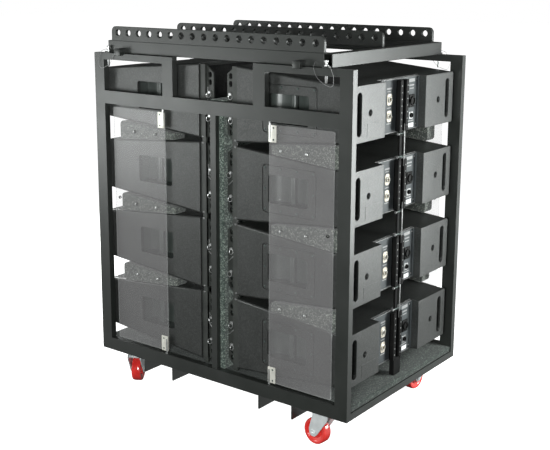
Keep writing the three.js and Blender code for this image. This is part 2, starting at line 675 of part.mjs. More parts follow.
function gridSolid() {
  const { left, right, front, back, tubeWidth, bottom } = GRID;
  const top = bottom + GRID.tubeHeight;
  const beam = tubeWidth + 2;
  const wall = 3;
  const solids = [
    box(left, right - tubeWidth + 1, gridY(front), gridY(front + beam), bottom, top),
    box(left, right, gridY(back - beam), gridY(back), bottom, top),
    box(left, left + tubeWidth, gridY(front + beam - 1), gridY(back - beam + 1), bottom, top),
    box(right - tubeWidth, right, gridY(front - 1), gridY(back - beam + 1), bottom, top),
    pickupRail(front),
    pickupRail((front + back - GRID.railThick) / 2),
    pickupRail(back - GRID.railThick - 4),
    ...gridHooks(-1), ...gridHooks(1), ...gridLugs(-1), ...gridLugs(1),
  ];
  const openEnd = box(right - tubeWidth + wall, right - wall, gridY(front - 2), gridY(front + 60),
    bottom + wall, top - wall);
  return cut(joined(solids), [openEnd, ...lugHoles(-1), ...lugHoles(1)]);
}

addMesh(rack, "fly_grid", gridSolid(), FRAME_PAINT);

// Quick-release pins that drop through the grid's lugs into the top rails.
function gridPinSolid(x, side) {
  const y = yIn(side, GRID_PIN.set);
  const seat = GRID.bottom + GRID_LUG.thick + TOUCH;
  return rod([x, y, RACK.height - GRID_PIN.below], [x, y, seat + 1], GRID_PIN.radius)
    .add(rod([x, y, seat], [x, y, seat + GRID_PIN.headHeight], GRID_PIN.head));
}

for (const [face, side] of [["front", -1], ["back", 1]]) {
  GRID_PIN.xs.forEach((x, i) => {
    addMesh(rack, `grid_pin_${face}_${STACKS[i].name}`, gridPinSolid(x, side), ZINC);
  });
}

export default machine;
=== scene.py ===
"""Looks of the line array system in its touring rack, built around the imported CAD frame.

Everything is in metres, in the frame's own axes: +X along the wide side, +Y across, +Z up.
"""
import json
from math import atan2, cos, pi, radians, sin, tan

import bmesh
import bpy
from mathutils import Matrix, Vector


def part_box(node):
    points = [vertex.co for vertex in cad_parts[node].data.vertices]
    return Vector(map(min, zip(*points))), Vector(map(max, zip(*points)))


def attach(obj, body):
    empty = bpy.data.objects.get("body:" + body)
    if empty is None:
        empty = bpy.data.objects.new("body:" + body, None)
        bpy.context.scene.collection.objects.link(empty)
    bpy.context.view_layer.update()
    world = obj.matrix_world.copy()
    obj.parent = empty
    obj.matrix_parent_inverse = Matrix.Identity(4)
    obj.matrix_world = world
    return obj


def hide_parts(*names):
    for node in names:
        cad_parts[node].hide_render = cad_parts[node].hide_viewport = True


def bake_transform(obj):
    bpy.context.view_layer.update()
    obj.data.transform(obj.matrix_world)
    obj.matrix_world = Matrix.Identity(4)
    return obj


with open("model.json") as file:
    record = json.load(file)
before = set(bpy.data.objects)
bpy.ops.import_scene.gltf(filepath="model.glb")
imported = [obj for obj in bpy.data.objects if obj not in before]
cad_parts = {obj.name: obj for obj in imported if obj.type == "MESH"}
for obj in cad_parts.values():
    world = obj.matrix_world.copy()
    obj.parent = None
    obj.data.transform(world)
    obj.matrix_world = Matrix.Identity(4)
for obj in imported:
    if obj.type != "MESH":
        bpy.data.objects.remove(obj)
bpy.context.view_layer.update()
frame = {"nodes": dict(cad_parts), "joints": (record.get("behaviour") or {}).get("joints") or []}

# -------------------- places taken from the frame
FRONT_LOW, FRONT_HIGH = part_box("front_frame")
RACK_FACE = abs(FRONT_LOW.y)        # from the middle of the rack to the outside of either end frame
RACK_BASE = FRONT_LOW.z
RACK_TOP = FRONT_HIGH.z
MODULE_LOW, MODULE_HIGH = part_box("module_right_1_enclosure")
MODULE_DEPTH = MODULE_HIGH.x - MODULE_LOW.x
CHEEK_Y = (MODULE_HIGH.y - MODULE_LOW.y) / 2      # the outer face of a module's cheek
FRONT_HALF = (MODULE_HIGH.z - MODULE_LOW.z) / 2
REAR_HALF = 0.097
STACKS = {"left": -1, "right": 1}
FACES = {"front": -1, "back": 1}
LEVELS = (1, 2, 3, 4)
LEVEL_BOXES = [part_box(f"module_right_{level}_enclosure") for level in LEVELS]
CENTRES = [(low.z + high.z) / 2 for low, high in LEVEL_BOXES]
GAPS = [(below[1].z + above[0].z) / 2 for below, above in zip(LEVEL_BOXES, LEVEL_BOXES[1:])]
DECK_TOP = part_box("deck_board")[1].z


# -------------------- materials
def configure(thing, settings):
    for name, value in settings.items():
        setattr(thing, name, value)


def add_node(tree, kind, inputs=None, **settings):
    """A shader node with its settings. An input given a socket is linked to it."""
    node = tree.nodes.new(f"ShaderNode{kind}")
    configure(node, settings)
    for key, value in (inputs or {}).items():
        if isinstance(value, bpy.types.NodeSocket):
            tree.links.new(value, node.inputs[key])
        else:
            node.inputs[key].default_value = value
    return node


def finish(name, dark, light, patch, rough, grain, depth, speckle=None, speckle_size=0.004,
           speckle_share=0.6, **sockets):
    """A procedural surface: two tones in soft patches, uneven gloss, a fine grain and, if asked,
    speckles. Sizes and depths are in metres."""
    material = bpy.data.materials.new(name)
    material.use_nodes = True
    tree = material.node_tree
    shader = tree.nodes["Principled BSDF"]
    for socket, value in sockets.items():
        shader.inputs[socket.replace("_", " ")].default_value = value
    place = add_node(tree, "TexCoord").outputs["Object"]

    def noise(size, detail):
        inputs = {"Vector": place, "Scale": 1.0 / size, "Detail": detail}
        return add_node(tree, "TexNoise", inputs).outputs["Fac"]

    def ramp(fac, stops):
        node = add_node(tree, "ValToRGB", {"Fac": fac})
        for element, (at, colour) in zip(node.color_ramp.elements, stops):
            element.position = at
            element.color = (*colour, 1.0)
        return node.outputs["Color"]

    colour = ramp(noise(patch, 6.0), ((0.35, dark), (0.65, light)))
    if speckle:
        cells = add_node(tree, "TexVoronoi", {"Vector": place, "Scale": 1.0 / speckle_size})
        mask = ramp(cells.outputs["Color"], ((1 - speckle_share, (0, 0, 0)), (1.0, (1, 1, 1))))
        inputs = {"Factor": mask, "A": colour, "B": (*speckle, 1.0)}
        colour = add_node(tree, "Mix", inputs, data_type="RGBA").outputs["Result"]
    inputs = {"Value": noise(patch * 0.6, 4.0), "To Min": rough[0], "To Max": rough[1]}
    gloss = add_node(tree, "MapRange", inputs).outputs["Result"]
    inputs = {"Height": noise(grain, 3.0), "Strength": 1.0, "Distance": depth}
    normal = add_node(tree, "Bump", inputs).outputs["Normal"]
    for socket, value in (("Base Color", colour), ("Roughness", gloss), ("Normal", normal)):
        tree.links.new(value, shader.inputs[socket])
    return material


def grey(value):
    return (value, value, value)


def carpet(name, dark, light, speckle, size, share, depth, sheen):
    """Short matt pile, flecked with paler fibres."""
    return finish(name, dark, light, 0.03, (0.95, 1.0), 0.002, depth, speckle=speckle,
                  speckle_size=size, speckle_share=share, Sheen_Weight=sheen, Sheen_Roughness=0.6)


FRAME = finish("frame_paint", (0.013, 0.015, 0.013), (0.021, 0.023, 0.021), 0.12, (0.33, 0.43),
               0.0022, 0.00006, Specular_IOR_Level=0.72)
FRAME_EDGE = finish("frame_paint_worn_edge", grey(0.05), grey(0.09), 0.02, (0.3, 0.42), 0.0022, 0.00006)
CABINET = finish("cabinet_paint", (0.012, 0.013, 0.012), (0.019, 0.02, 0.019), 0.09, (0.33, 0.45),
                 0.0035, 0.0009, speckle=(0.042, 0.044, 0.042), Specular_IOR_Level=0.78)
CABINET_EDGE = finish("cabinet_paint_edge", (0.0357, 0.035, 0.0343), (0.0561, 0.055, 0.0539), 0.05,
                      (0.4, 0.52), 0.0024, 0.0003)
RIGGING = finish("rigging_steel", grey(0.003), grey(0.006), 0.05, (0.5, 0.62), 0.002, 0.00008,
                 Specular_IOR_Level=0.12)
RIGGING_GREY = finish("rigging_steel_painted", (0.026, 0.028, 0.026), (0.04, 0.043, 0.039), 0.05,
                      (0.4, 0.52), 0.002, 0.00008)
# Dark green deck carpet, darker than its own colour: painted shade for the shadow that lies on the deck under
# the modules.
DECK_CARPET_WITH_PAINTED_SHADE = carpet("carpet", (0.007, 0.012, 0.01), (0.013, 0.019, 0.016), (0.1, 0.125, 0.105),
                0.004, 0.42, 0.0005, 0.1)
# The same carpet as the deck in a tone several times lighter: painted light on the divider, which stands in
# shade between the stacks.
DIVIDER_CARPET_PAINTED_LIGHT = carpet("carpet_divider_painted_light", (0.022, 0.036, 0.03), (0.04, 0.058, 0.048), (0.34, 0.4, 0.35),
                        0.004, 0.5, 0.0005, 0.3)
BLOCK_CARPET = carpet("carpet_grey", (0.04, 0.046, 0.042), (0.06, 0.066, 0.06), (0.36, 0.38, 0.34),
                      0.0036, 0.4, 0.0004, 0.3)
# Clear polycarbonate: besides its real gloss and coat, a light grey tone at low opacity, a painted veil of
# room light reflected in the sheet.
CLEAR_PAINTED_VEIL = finish("clear_polycarbonate", (0.42, 0.4, 0.41), (0.48, 0.46, 0.47), 0.25, (0.26, 0.34), 0.09,
               0.00004, Alpha=0.16, Specular_IOR_Level=1.0, Coat_Weight=0.8, Coat_Roughness=0.28)
# A narrow rim round each clear sheet in a much lighter grey: a painted highlight where the sheet's edges
# catch the light.
CLEAR_EDGE_PAINTED_HIGHLIGHT = finish("clear_polycarbonate_painted_edge_highlight", grey(0.72), grey(0.84), 0.05, (0.15, 0.25), 0.01, 0.0001,
                    Alpha=0.16, Specular_IOR_Level=0.3)
ZINC = finish("zinc_steel", grey(0.5), grey(0.66), 0.03, (0.26, 0.42), 0.004, 0.00005, Metallic=0.85)
RED = finish("red_polyurethane", (0.66, 0.026, 0.022), (0.8, 0.048, 0.04), 0.05, (0.16, 0.26), 0.012,
             0.00008, Coat_Weight=0.6, Coat_Roughness=0.12)
GRILLE = finish("grille_steel", grey(0.012), grey(0.02), 0.05, (0.5, 0.6), 0.004, 0.0004,
                speckle=grey(0.001), speckle_size=0.006, speckle_share=0.7)
DRIVER = finish("driver_black", grey(0.014), grey(0.024), 0.05, (0.6, 0.75), 0.003, 0.0002)
PANEL = finish("amplifier_panel", (0.055, 0.062, 0.066), (0.08, 0.088, 0.092), 0.06, (0.45, 0.55), 0.0015,
               0.00005, Specular_IOR_Level=0.3)
# Zinc for the caster forks, paler and less metallic than the other zinc: painted light standing for the
# bounce from the white floor, which gives none.
YOKE_ZINC_PAINTED_BOUNCE = finish("zinc_painted_floor_bounce", (0.62, 0.64, 0.65), (0.74, 0.76, 0.77), 0.03, (0.24, 0.36), 0.004,
                   0.00005, Metallic=0.3)
PALE_ZINC = finish("pale_zinc", (0.7, 0.68, 0.62), (0.84, 0.82, 0.75), 0.02, (0.3, 0.42), 0.002, 0.00004,
                   Metallic=0.35)
DARK_ZINC = finish("dark_screw", (0.07, 0.09, 0.085), (0.12, 0.145, 0.135), 0.004, (0.35, 0.5), 0.001,
                   0.00004, Metallic=0.6)
PANEL_EDGE = finish("panel_edge", grey(0.16), grey(0.24), 0.03, (0.35, 0.5), 0.001, 0.00003, Metallic=0.5)
# Black handle cup plastic in a lighter grey: a painted reflection of the room in its gloss.
CUP_PAINTED_REFLECTION = finish("handle_cup_plastic_painted_reflection", (0.046, 0.054, 0.05), (0.062, 0.07, 0.066), 0.04, (0.3, 0.4), 0.0016,
             0.000005, Specular_IOR_Level=0.6)
PLASTIC = finish("black_plastic", grey(0.004), grey(0.007), 0.03, (0.45, 0.55), 0.0016, 0.00008,
                 Specular_IOR_Level=0.15)
CREAM = finish("socket_plate", (0.66, 0.6, 0.5), (0.8, 0.74, 0.64), 0.01, (0.3, 0.42), 0.001, 0.00003,
               Metallic=0.2)
BRASS = finish("brass", (0.45, 0.32, 0.16), (0.6, 0.45, 0.24), 0.008, (0.25, 0.35), 0.001, 0.00003,
               Metallic=0.9)
WHITE = finish("white_card", grey(0.72), grey(0.8), 0.02, (0.5, 0.6), 0.001, 0.00003)
SILK = finish("panel_print", grey(0.26), grey(0.32), 0.01, (0.5, 0.6), 0.001, 0.00003)
WIRE = finish("steel_wire", grey(0.35), grey(0.5), 0.004, (0.3, 0.4), 0.0008, 0.00008, Metallic=0.8)


# -------------------- outlines
def rectangle(a0, a1, b0, b1):
    return [(a0, b0), (a1, b0), (a1, b1), (a0, b1)]


def circle(a, b, radius, count=28):
    turns = [2 * pi * i / count for i in range(count)]
    return [(a + radius * cos(t), b + radius * sin(t)) for t in turns]


def rounded(points, radius, steps=5):
    """The outline with its corners rounded, one radius for all or one for each corner."""
    radii = radius if isinstance(radius, (list, tuple)) else [radius] * len(points)
    made = []
    for i, (corner, r) in enumerate(zip(points, radii)):
        here = Vector(corner)
        before = Vector(points[i - 1]) - here
        after = Vector(points[(i + 1) % len(points)]) - here
        angle = before.angle(after)
        reach = min(r / tan(angle / 2), 0.499 * before.length, 0.499 * after.length)
        if reach < 1e-6:
            made.append(tuple(here))
            continue
        r = reach * tan(angle / 2)
        middle = here + (before.normalized() + after.normalized()).normalized() * (r / sin(angle / 2))
        first = here + before.normalized() * reach - middle
        last = here + after.normalized() * reach - middle
        sweep = atan2(first.x * last.y - first.y * last.x, first.dot(last))
        for k in range(steps + 1):
            turn = Matrix.Rotation(sweep * k / steps, 2)
            made.append(tuple(middle + turn @ first))
    return made


def panel(a0, a1, b0, b1, radius, steps=5):
    """A rectangle with rounded corners."""
    return rounded(rectangle(a0, a1, b0, b1), radius, steps)


def cap(radius, straight, top_radius, height):
    """The profile of a bolt head or nut with a chamfered top."""
    return [(radius, 0), (radius, straight), (top_radius, height), (0.0001, height)]


def washer(outer, inner, height):
    """The profile of a flat ring."""
    return [(outer, 0), (outer, height), (inner, height), (inner, 0), (outer, 0)]


# -------------------- pieces
PLANES = {  # how a flat outline (a, b) and its thickness t become x, y, z
    "XZ": Matrix(((1, 0, 0, 0), (0, 0, 1, 0), (0, 1, 0, 0), (0, 0, 0, 1))),
    "YZ": Matrix(((0, 0, 1, 0), (1, 0, 0, 0), (0, 1, 0, 0), (0, 0, 0, 1))),
    "XY": Matrix.Identity(4),
}


def put(name, data):
    """A new object in the scene."""
    obj = bpy.data.objects.new(name, data)
    bpy.context.scene.collection.objects.link(obj)
    return obj


def opened(mesh):
    """The mesh as a bmesh, to be worked on."""
    part = bmesh.new()
    part.from_mesh(mesh)
    return part


def closed(part, name="part"):
    """The bmesh as a new mesh; the bmesh is freed."""
    mesh = bpy.data.meshes.new(name)
    part.to_mesh(mesh)
    part.free()
    return mesh


def mesh_of(obj):
    """The final mesh of a helper object, which is then removed."""
    bpy.context.view_layer.update()
    graph = bpy.context.evaluated_depsgraph_get()
    mesh = bpy.data.meshes.new_from_object(obj.evaluated_get(graph))
    bpy.data.objects.remove(obj)
    return mesh


class Shape:
    """A mesh built up from boxes, plates, turned shapes and tubes, each with its own material."""

    def __init__(self):
        self.bm = bmesh.new()
        self.materials = []

    def index(self, material):
        if material not in self.materials:
            self.materials.append(material)
        return self.materials.index(material)

    def add(self, part, material, matrix=None):
        if matrix is not None:
            part.transform(matrix)
        bmesh.ops.recalc_face_normals(part, faces=part.faces)
        for face in part.faces:
            face.material_index = self.index(material)
        self.join(closed(part))

    def join(self, mesh):
        self.bm.from_mesh(mesh)
        bpy.data.meshes.remove(mesh)

    def box(self, low, high, material, bevel=0.001, segments=2):
        low, high = Vector(map(min, low, high)), Vector(map(max, low, high))
        part = bmesh.new()
        bmesh.ops.create_cube(part, size=1.0)
        part.transform(Matrix.Translation((low + high) / 2) @ Matrix.Diagonal((*(high - low), 1)))
        bmesh.ops.bevel(part, geom=part.edges[:], offset=bevel, segments=segments, profile=0.5,
                        affect="EDGES", clamp_overlap=True)
        self.add(part, material)

    def turned(self, profile, start, along, material, segments=32):
        """A lathed shape: profile is (radius, distance along the axis) from start."""
        part = bmesh.new()
        rings = []
        for radius, distance in profile:
            ring = [part.verts.new((radius * cos(t), radius * sin(t), distance))
                    for t in (2 * pi * i / segments for i in range(segments))]
            rings.append(ring)
        for ring, following in zip(rings, rings[1:]):
            for i in range(segments):
                j = (i + 1) % segments
                part.faces.new((ring[i], ring[j], following[j], following[i]))
        if profile[0] != profile[-1]:
            part.faces.new(rings[0])
            part.faces.new(rings[-1])
        bmesh.ops.remove_doubles(part, verts=part.verts, dist=1e-6)
        turn = Vector(along).to_track_quat("Z", "Y").to_matrix().to_4x4()
        self.add(part, material, Matrix.Translation(start) @ turn)

    def rod(self, start, end, radius, material, segments):
        along = Vector(end) - Vector(start)
        c = min(radius * 0.2, along.length * 0.25)
        profile = [(radius - c, 0), (radius, c), (radius, along.length - c), (radius - c, along.length)]
        self.turned(profile, start, along, material, segments)

    def plate(self, outline, holes, plane, near, far, material, bevel=0.0006):
        """A flat sheet of the outline with holes, its edges bevelled, from near to far across its plane."""
        data = bpy.data.curves.new("plate", "CURVE")
        data.dimensions = "2D"
        data.fill_mode = "BOTH"
        data.extrude = abs(far - near) / 2 - bevel
        data.bevel_depth = bevel
        data.bevel_resolution = 1
        data.offset = -bevel
        for points in [outline, *holes]:
            spline = data.splines.new("POLY")
            spline.points.add(len(points) - 1)
            for point, (a, b) in zip(spline.points, points):
                point.co = (a, b, 0, 1)
            spline.use_cyclic_u = True
        mesh = mesh_of(put("helper", data))
        part = opened(mesh)
        bpy.data.meshes.remove(mesh)
        bmesh.ops.remove_doubles(part, verts=part.verts, dist=1e-6)
        self.add(part, material, PLANES[plane] @ Matrix.Translation((0, 0, (near + far) / 2)))

    def tube(self, points, radius, material, sides):
        """A round wire along the points."""
        points = [Vector(p) for p in points]
        part = bmesh.new()
        rings = []
        side = None
        for i, point in enumerate(points):
            along = (points[min(i + 1, len(points) - 1)] - points[max(i - 1, 0)]).normalized()
            if side is None:
                side = along.orthogonal().normalized()
            side = (side - along * side.dot(along)).normalized()
            up = along.cross(side)
            turns = [2 * pi * (k + 0.5) / sides for k in range(sides)]
            rings.append([part.verts.new(point + side * radius * cos(t) + up * radius * sin(t))
                          for t in turns])
        for ring, following in zip(rings, rings[1:]):
            for k in range(sides):
                n = (k + 1) % sides
                part.faces.new((ring[k], ring[n], following[n], following[k]))
        part.faces.new(rings[0])
        part.faces.new(rings[-1])
        self.add(part, material)

    def take(self, mesh, material=None):
        """Adds a finished mesh, all in one material or with the materials that it has."""
        part = opened(mesh)
        indices = [self.index(m) for m in mesh.materials] if material is None else [self.index(material)]
        for face in part.faces:
            face.material_index = indices[min(face.material_index, len(indices) - 1)]
        self.join(closed(part))

    def mesh(self, name, matrix=None, sharp=32):
        if matrix is not None:
            self.bm.transform(matrix)
            if matrix.determinant() < 0:
                bmesh.ops.reverse_faces(self.bm, faces=self.bm.faces)
        data = closed(self.bm, name)
        for material in self.materials:
            data.materials.append(material)
        smooth(data, sharp)
        return data


FLAT_WIDTH = 0.009      # flat faces broader than this are shaded flat


def smooth(data, sharp):
    """Smooth shading, except on broad flat faces, which would take on the shading of their bevels."""
    data.set_sharp_from_angle(angle=radians(sharp))
    planes = {}
    for polygon in data.polygons:
        distance = polygon.normal.dot(polygon.center)
        key = (*(round(c, 2) for c in polygon.normal), round(distance, 3))
        planes.setdefault(key, []).append(polygon)
    for faces in planes.values():
        places = [data.vertices[i].co for face in faces for i in face.vertices]
        reach = max(max(p[axis] for p in places) - min(p[axis] for p in places) for axis in range(3))
        broad = sum(face.area for face in faces) > FLAT_WIDTH * reach
        for face in faces:
            face.use_smooth = not broad


def piece(name, data, body, replaces=(), matrix=None):
    """Puts a mesh in the scene as a visible piece that rides on a body."""
    obj = put(name, data)
    if matrix is not None:
        obj.matrix_world = matrix
    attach(obj, body)
    if replaces:
        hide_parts(*replaces)
    return obj


def modify(obj, kind, **settings):
    configure(obj.modifiers.new(kind, kind), settings)


def bevelled(mesh, width, edge_angle=30, segments=2):
    """The mesh with bevelled edges, whose narrow faces take the mesh's second material."""
    obj = put("helper", mesh)
    modify(obj, "BEVEL", width=width, segments=segments, limit_method="ANGLE",
           angle_limit=radians(edge_angle), material=1, use_clamp_overlap=True, miter_outer="MITER_ARC")
    return mesh_of(obj)


def merged(mesh, near, degrees):
    """The mesh as a bmesh, with near points joined and faces that meet at so few degrees merged."""
    part = opened(mesh)
    bmesh.ops.remove_doubles(part, verts=part.verts, dist=near)
    bmesh.ops.dissolve_limit(part, angle_limit=radians(degrees), verts=part.verts, edges=part.edges)
    return part


def bevelled_copy(node, width, main, edge, segments=2):
    """A CAD node's own shape with its edges bevelled, which take the edge material."""
    part = merged(frame["nodes"][node].data, 1e-5, 1)
    for face in part.faces:
        face.material_index = 0
    mesh = closed(part, node)
    mesh.materials.append(main)
    mesh.materials.append(edge)
    made = bevelled(mesh, width, segments=segments)
    smooth(made, 50)
    return made


# -------------------- rack
TUBE_EDGE, BASE_EDGE = 0.0022, 0.0012


def build_rack():
    for name, edge in (("front_frame", TUBE_EDGE), ("back_frame", TUBE_EDGE), ("base_frame", BASE_EDGE)):
        tubes = bevelled_copy(name, edge, FRAME, FRAME_EDGE)
        piece(f"{name}_tubes", tubes, "rack", [name])
    # Deck and divider take two tones of one carpet: darkened as painted shade on the deck, lightened as
    # painted light on the divider.
    for name, node, edge, pile in (("deck_carpet", "deck_board", 0.004, DECK_CARPET_WITH_PAINTED_SHADE),
                                   ("divider_carpet", "centre_divider", 0.006, DIVIDER_CARPET_PAINTED_LIGHT)):
        piece(name, bevelled_copy(node, edge, pile, pile, 3), "rack", [node])


# -------------------- loudspeaker modules
HANDLE_X, HANDLE_HALF, HANDLE_TALL, HANDLE_DEPTH = 0.229, 0.175 / 2, 0.105 / 2, 0.058
BAY_HALF, BAY_FLOOR = 0.145, MODULE_DEPTH - 0.038
SLOT_Y, SLOT_WIDTH, SLOT_HEIGHT = 0.312, 0.03, 0.15
INSERT_Y, INSERT_RADIUS = 0.242, 0.012
CHEEK, WALL = 0.018, 0.015
ACCESS_SIDE = -1                     # the cheek with the access plate, in the module's own axes
ACCESS_LEFT, ACCESS_RIGHT, ACCESS_HALF, ACCESS_GROOVE = 0.116, 0.351, 0.088, 0.005


def half_height(x):
    return FRONT_HALF + (REAR_HALF - FRONT_HALF) * x / MODULE_DEPTH


def prism(points_front, points_rear):
    """A closed solid between two outlines of the same number of points."""
    part = bmesh.new()
    front = [part.verts.new(p) for p in points_front]
    rear = [part.verts.new(p) for p in points_rear]
    part.faces.new(front)
    part.faces.new(rear)
    for i in range(len(front)):
        j = (i + 1) % len(front)
        part.faces.new((front[i], front[j], rear[j], rear[i]))
    bmesh.ops.recalc_face_normals(part, faces=part.faces)
    return closed(part)


def wedge(x0, x1, half_width, inset, corner=0.0):
    """A slice of the module's trapezoid from x0 to x1, its four long edges rounded."""
    loops = []
    for x in (x0, x1):
        h = half_height(x) - inset
        loop = panel(-half_width, half_width, -h, h, corner, 4)
        loops.append([(x, y, z) for y, z in loop])
    return prism(*loops)


def slab(outline, plane, near, far):
    """A plain closed solid of the outline, used as a cutting tool."""
    loops = [[tuple(PLANES[plane] @ Vector((a, b, t))) for a, b in outline] for t in (near, far)]
    return prism(*loops)


def carved(mesh, tools):
    """The mesh with the shapes of the tools cut out of it."""
    obj = put("helper", mesh)
    cutters = [put("helper", tool) for tool in tools]
    for cutter in cutters:
        modify(obj, "BOOLEAN", operation="DIFFERENCE", solver="EXACT", object=cutter)
    made = mesh_of(obj)
    for cutter in cutters:
        bpy.data.objects.remove(cutter)
    return made


HANDLE_OUTLINE = panel(HANDLE_X - HANDLE_HALF, HANDLE_X + HANDLE_HALF, -HANDLE_TALL, HANDLE_TALL, 0.01)


def cabinet_shell():
    body = wedge(0, MODULE_DEPTH, CHEEK_Y, 0, corner=0.008)
    tools = [wedge(-0.01, BAY_FLOOR - WALL, CHEEK_Y - CHEEK, WALL)]
    for side in (-1, 1):
        tools.append(slab(HANDLE_OUTLINE, "XZ", side * (CHEEK_Y + 0.01), side * (CHEEK_Y - CHEEK - 0.01)))
        slot = panel(side * SLOT_Y - SLOT_WIDTH / 2, side * SLOT_Y + SLOT_WIDTH / 2,
                     -SLOT_HEIGHT / 2, SLOT_HEIGHT / 2, SLOT_WIDTH / 2, 8)
        tools.append(slab(slot, "YZ", BAY_FLOOR - WALL - 0.01, MODULE_DEPTH + 0.01))
        hole = circle(side * INSERT_Y, 0, INSERT_RADIUS)
        tools.append(slab(hole, "YZ", BAY_FLOOR, MODULE_DEPTH + 0.01))
    recess = panel(ACCESS_LEFT, ACCESS_RIGHT, -ACCESS_HALF, ACCESS_HALF, 0.015, 6)
    tools.append(slab(recess, "XZ", ACCESS_SIDE * (CHEEK_Y + 0.01),
                      ACCESS_SIDE * (CHEEK_Y - ACCESS_GROOVE)))
    bay = rectangle(-BAY_HALF, BAY_HALF, -FRONT_HALF, FRONT_HALF)
    tools.append(slab(bay, "YZ", BAY_FLOOR, MODULE_DEPTH + 0.01))
    mesh = closed(merged(carved(body, tools), 1e-6, 0.2))
    mesh.materials.clear()
    mesh.materials.append(CABINET)
    mesh.materials.append(CABINET_EDGE)
    return bevelled(mesh, 0.0018, edge_angle=40)


def screw(shape, centre, outward, radius, material):
    """A pan head screw standing on a surface."""
    outward = Vector(outward)
    profile = [(radius, 0), (radius, radius * 0.2), (radius * 0.75, radius * 0.5),
               (radius * 0.3, radius * 0.55), (radius * 0.25, radius * 0.35), (0.00001, radius * 0.35)]
    shape.turned(profile, Vector(centre) - outward * 0.0002, outward, material, 14)


def bowl_outline(side):
    """The bowl seen from above: a half ellipse that opens at the cheek."""
    mouth = CHEEK_Y - CHEEK + 0.0005
    depth = mouth - (CHEEK_Y - HANDLE_DEPTH)
    turns = [pi * i / 24 for i in range(25)]
    curve = [(HANDLE_X - HANDLE_HALF * cos(t), side * (mouth - depth * sin(t) ** 0.8)) for t in turns]
    return [(curve[0][0], side * (CHEEK_Y + 0.02)), *curve, (curve[-1][0], side * (CHEEK_Y + 0.02))]


def add_handle_cup(shape, side):
    """A moulded cup behind the cheek with an upright grip bar across it: a bowl on the cheek with
    the access plate and a plain box on the other."""
    wall = 0.003
    outer = panel(HANDLE_X - HANDLE_HALF - wall, HANDLE_X + HANDLE_HALF + wall,
                  -HANDLE_TALL - wall, HANDLE_TALL + wall, 0.012)
    bottom = CHEEK_Y - HANDLE_DEPTH
    block = slab(outer, "XZ", side * (bottom - wall), side * (CHEEK_Y - CHEEK + 0.0005))
    if side == ACCESS_SIDE:
        pocket = slab(bowl_outline(side), "XY", -HANDLE_TALL, HANDLE_TALL)
    else:
        pocket = slab(HANDLE_OUTLINE, "XZ", side * bottom, side * (CHEEK_Y + 0.02))
    # Cup and grip bar take the grey of the painted reflection.
    shape.take(carved(block, [pocket]), CUP_PAINTED_REFLECTION)
    grip_near, grip_far = CHEEK_Y - 0.026, CHEEK_Y - 0.044
    shape.box((HANDLE_X - 0.009, side * grip_near, -HANDLE_TALL - wall / 2),
              (HANDLE_X + 0.013, side * grip_far, HANDLE_TALL + wall / 2), CUP_PAINTED_REFLECTION, 0.007, 4)


def add_access_plate(shape, side):
    """The large screwed plate round the handle, flush with its cheek inside a narrow groove."""
    gap = 0.0035
    x0, x1, h = ACCESS_LEFT + gap, ACCESS_RIGHT - gap, ACCESS_HALF - gap
    face = side * (CHEEK_Y - 0.0004)
    plate = panel(x0, x1, -h, h, 0.012, 6)
    behind = side * (CHEEK_Y - ACCESS_GROOVE - 0.001)
    shape.plate(plate, [HANDLE_OUTLINE], "XZ", behind, face, CABINET, 0.0008)
    inset = 0.0085
    across = [x0 + inset + (x1 - x0 - 2 * inset) * i / 3 for i in range(4)]
    points = [(x, z) for x in across for z in (-h + inset, h - inset)]
    points += [(x, 0.0) for x in (x0 + inset, x1 - inset)]
    for x, z in points:
        screw(shape, (x, face, z), (0, side, 0), 0.0045, DARK_ZINC)


def cabinet_mesh():
    shape = Shape()
    shape.take(cabinet_shell())
    for side in (-1, 1):
        add_handle_cup(shape, side)
    add_access_plate(shape, ACCESS_SIDE)
    rear = MODULE_DEPTH
    for side in (-1, 1):
        shape.turned(washer(INSERT_RADIUS, 0.007, 0.006), (BAY_FLOOR + 0.004, side * INSERT_Y, 0), (1, 0, 0),
                     PLASTIC, 24)
    card = panel(-0.262, -0.172, -0.085, -0.035, 0.003)
    shape.plate(card, [], "YZ", rear - 0.0005, rear + 0.0007, CABINET, 0.0003)
    return shape.mesh("cabinet", sharp=38)


SIGNAL_Y, MAINS_Y, MAINS_Z, LINK_Z = -0.062, 0.098, 0.006, -0.048
# Blank printed bands at each column of sockets: height on the panel, width, height of the band
PRINT_BANDS = {
    SIGNAL_Y: ((0.064, 0.034, 0.006), (0.054, 0.026, 0.003), (-0.005, 0.028, 0.003), (-0.062, 0.03, 0.004)),
    MAINS_Y: ((0.082, 0.044, 0.012), (0.064, 0.036, 0.005), (0.052, 0.03, 0.004), (-0.068, 0.04, 0.004)),
}


def add_block(shape, near, far, y, z, width, height, material, bevel, segments=2):
    """A low block on the amplifier panel, centred at y, z."""
    shape.box((near, y - width / 2, z - height / 2), (far, y + width / 2, z + height / 2), material, bevel,
              segments)


def add_signal_socket(shape, x, y, z):
    plate = panel(y - 0.0155, y + 0.0155, z - 0.0205, z + 0.0205, 0.009)
    shape.plate(plate, [], "YZ", x, x + 0.002, CREAM, 0.0005)
    ring = [(0.0115, 0), (0.0115, 0.004), (0.01, 0.0052), (0.0088, 0.0052), (0.0082, 0.001), (0.0082, 0)]
    shape.turned(ring + [ring[0]], (x + 0.0015, y, z), (1, 0, 0), PALE_ZINC, 28)
    insert = [(0.0083, 0), (0.0083, 0.0012), (0.0001, 0.0012)]
    shape.turned(insert, (x + 0.0012, y, z), (1, 0, 0), PLASTIC, 24)
    for angle in (90, 210, 330):
        dy, dz = 0.0045 * cos(radians(angle)), 0.0045 * sin(radians(angle))
        shape.rod((x + 0.002, y + dy, z + dz), (x + 0.0042, y + dy, z + dz), 0.0011, BRASS, 8)
    for dy, dz in ((-0.0095, -0.0125), (0.0095, 0.0125)):
        screw(shape, (x + 0.002, y + dy, z + dz), (1, 0, 0), 0.002, ZINC)


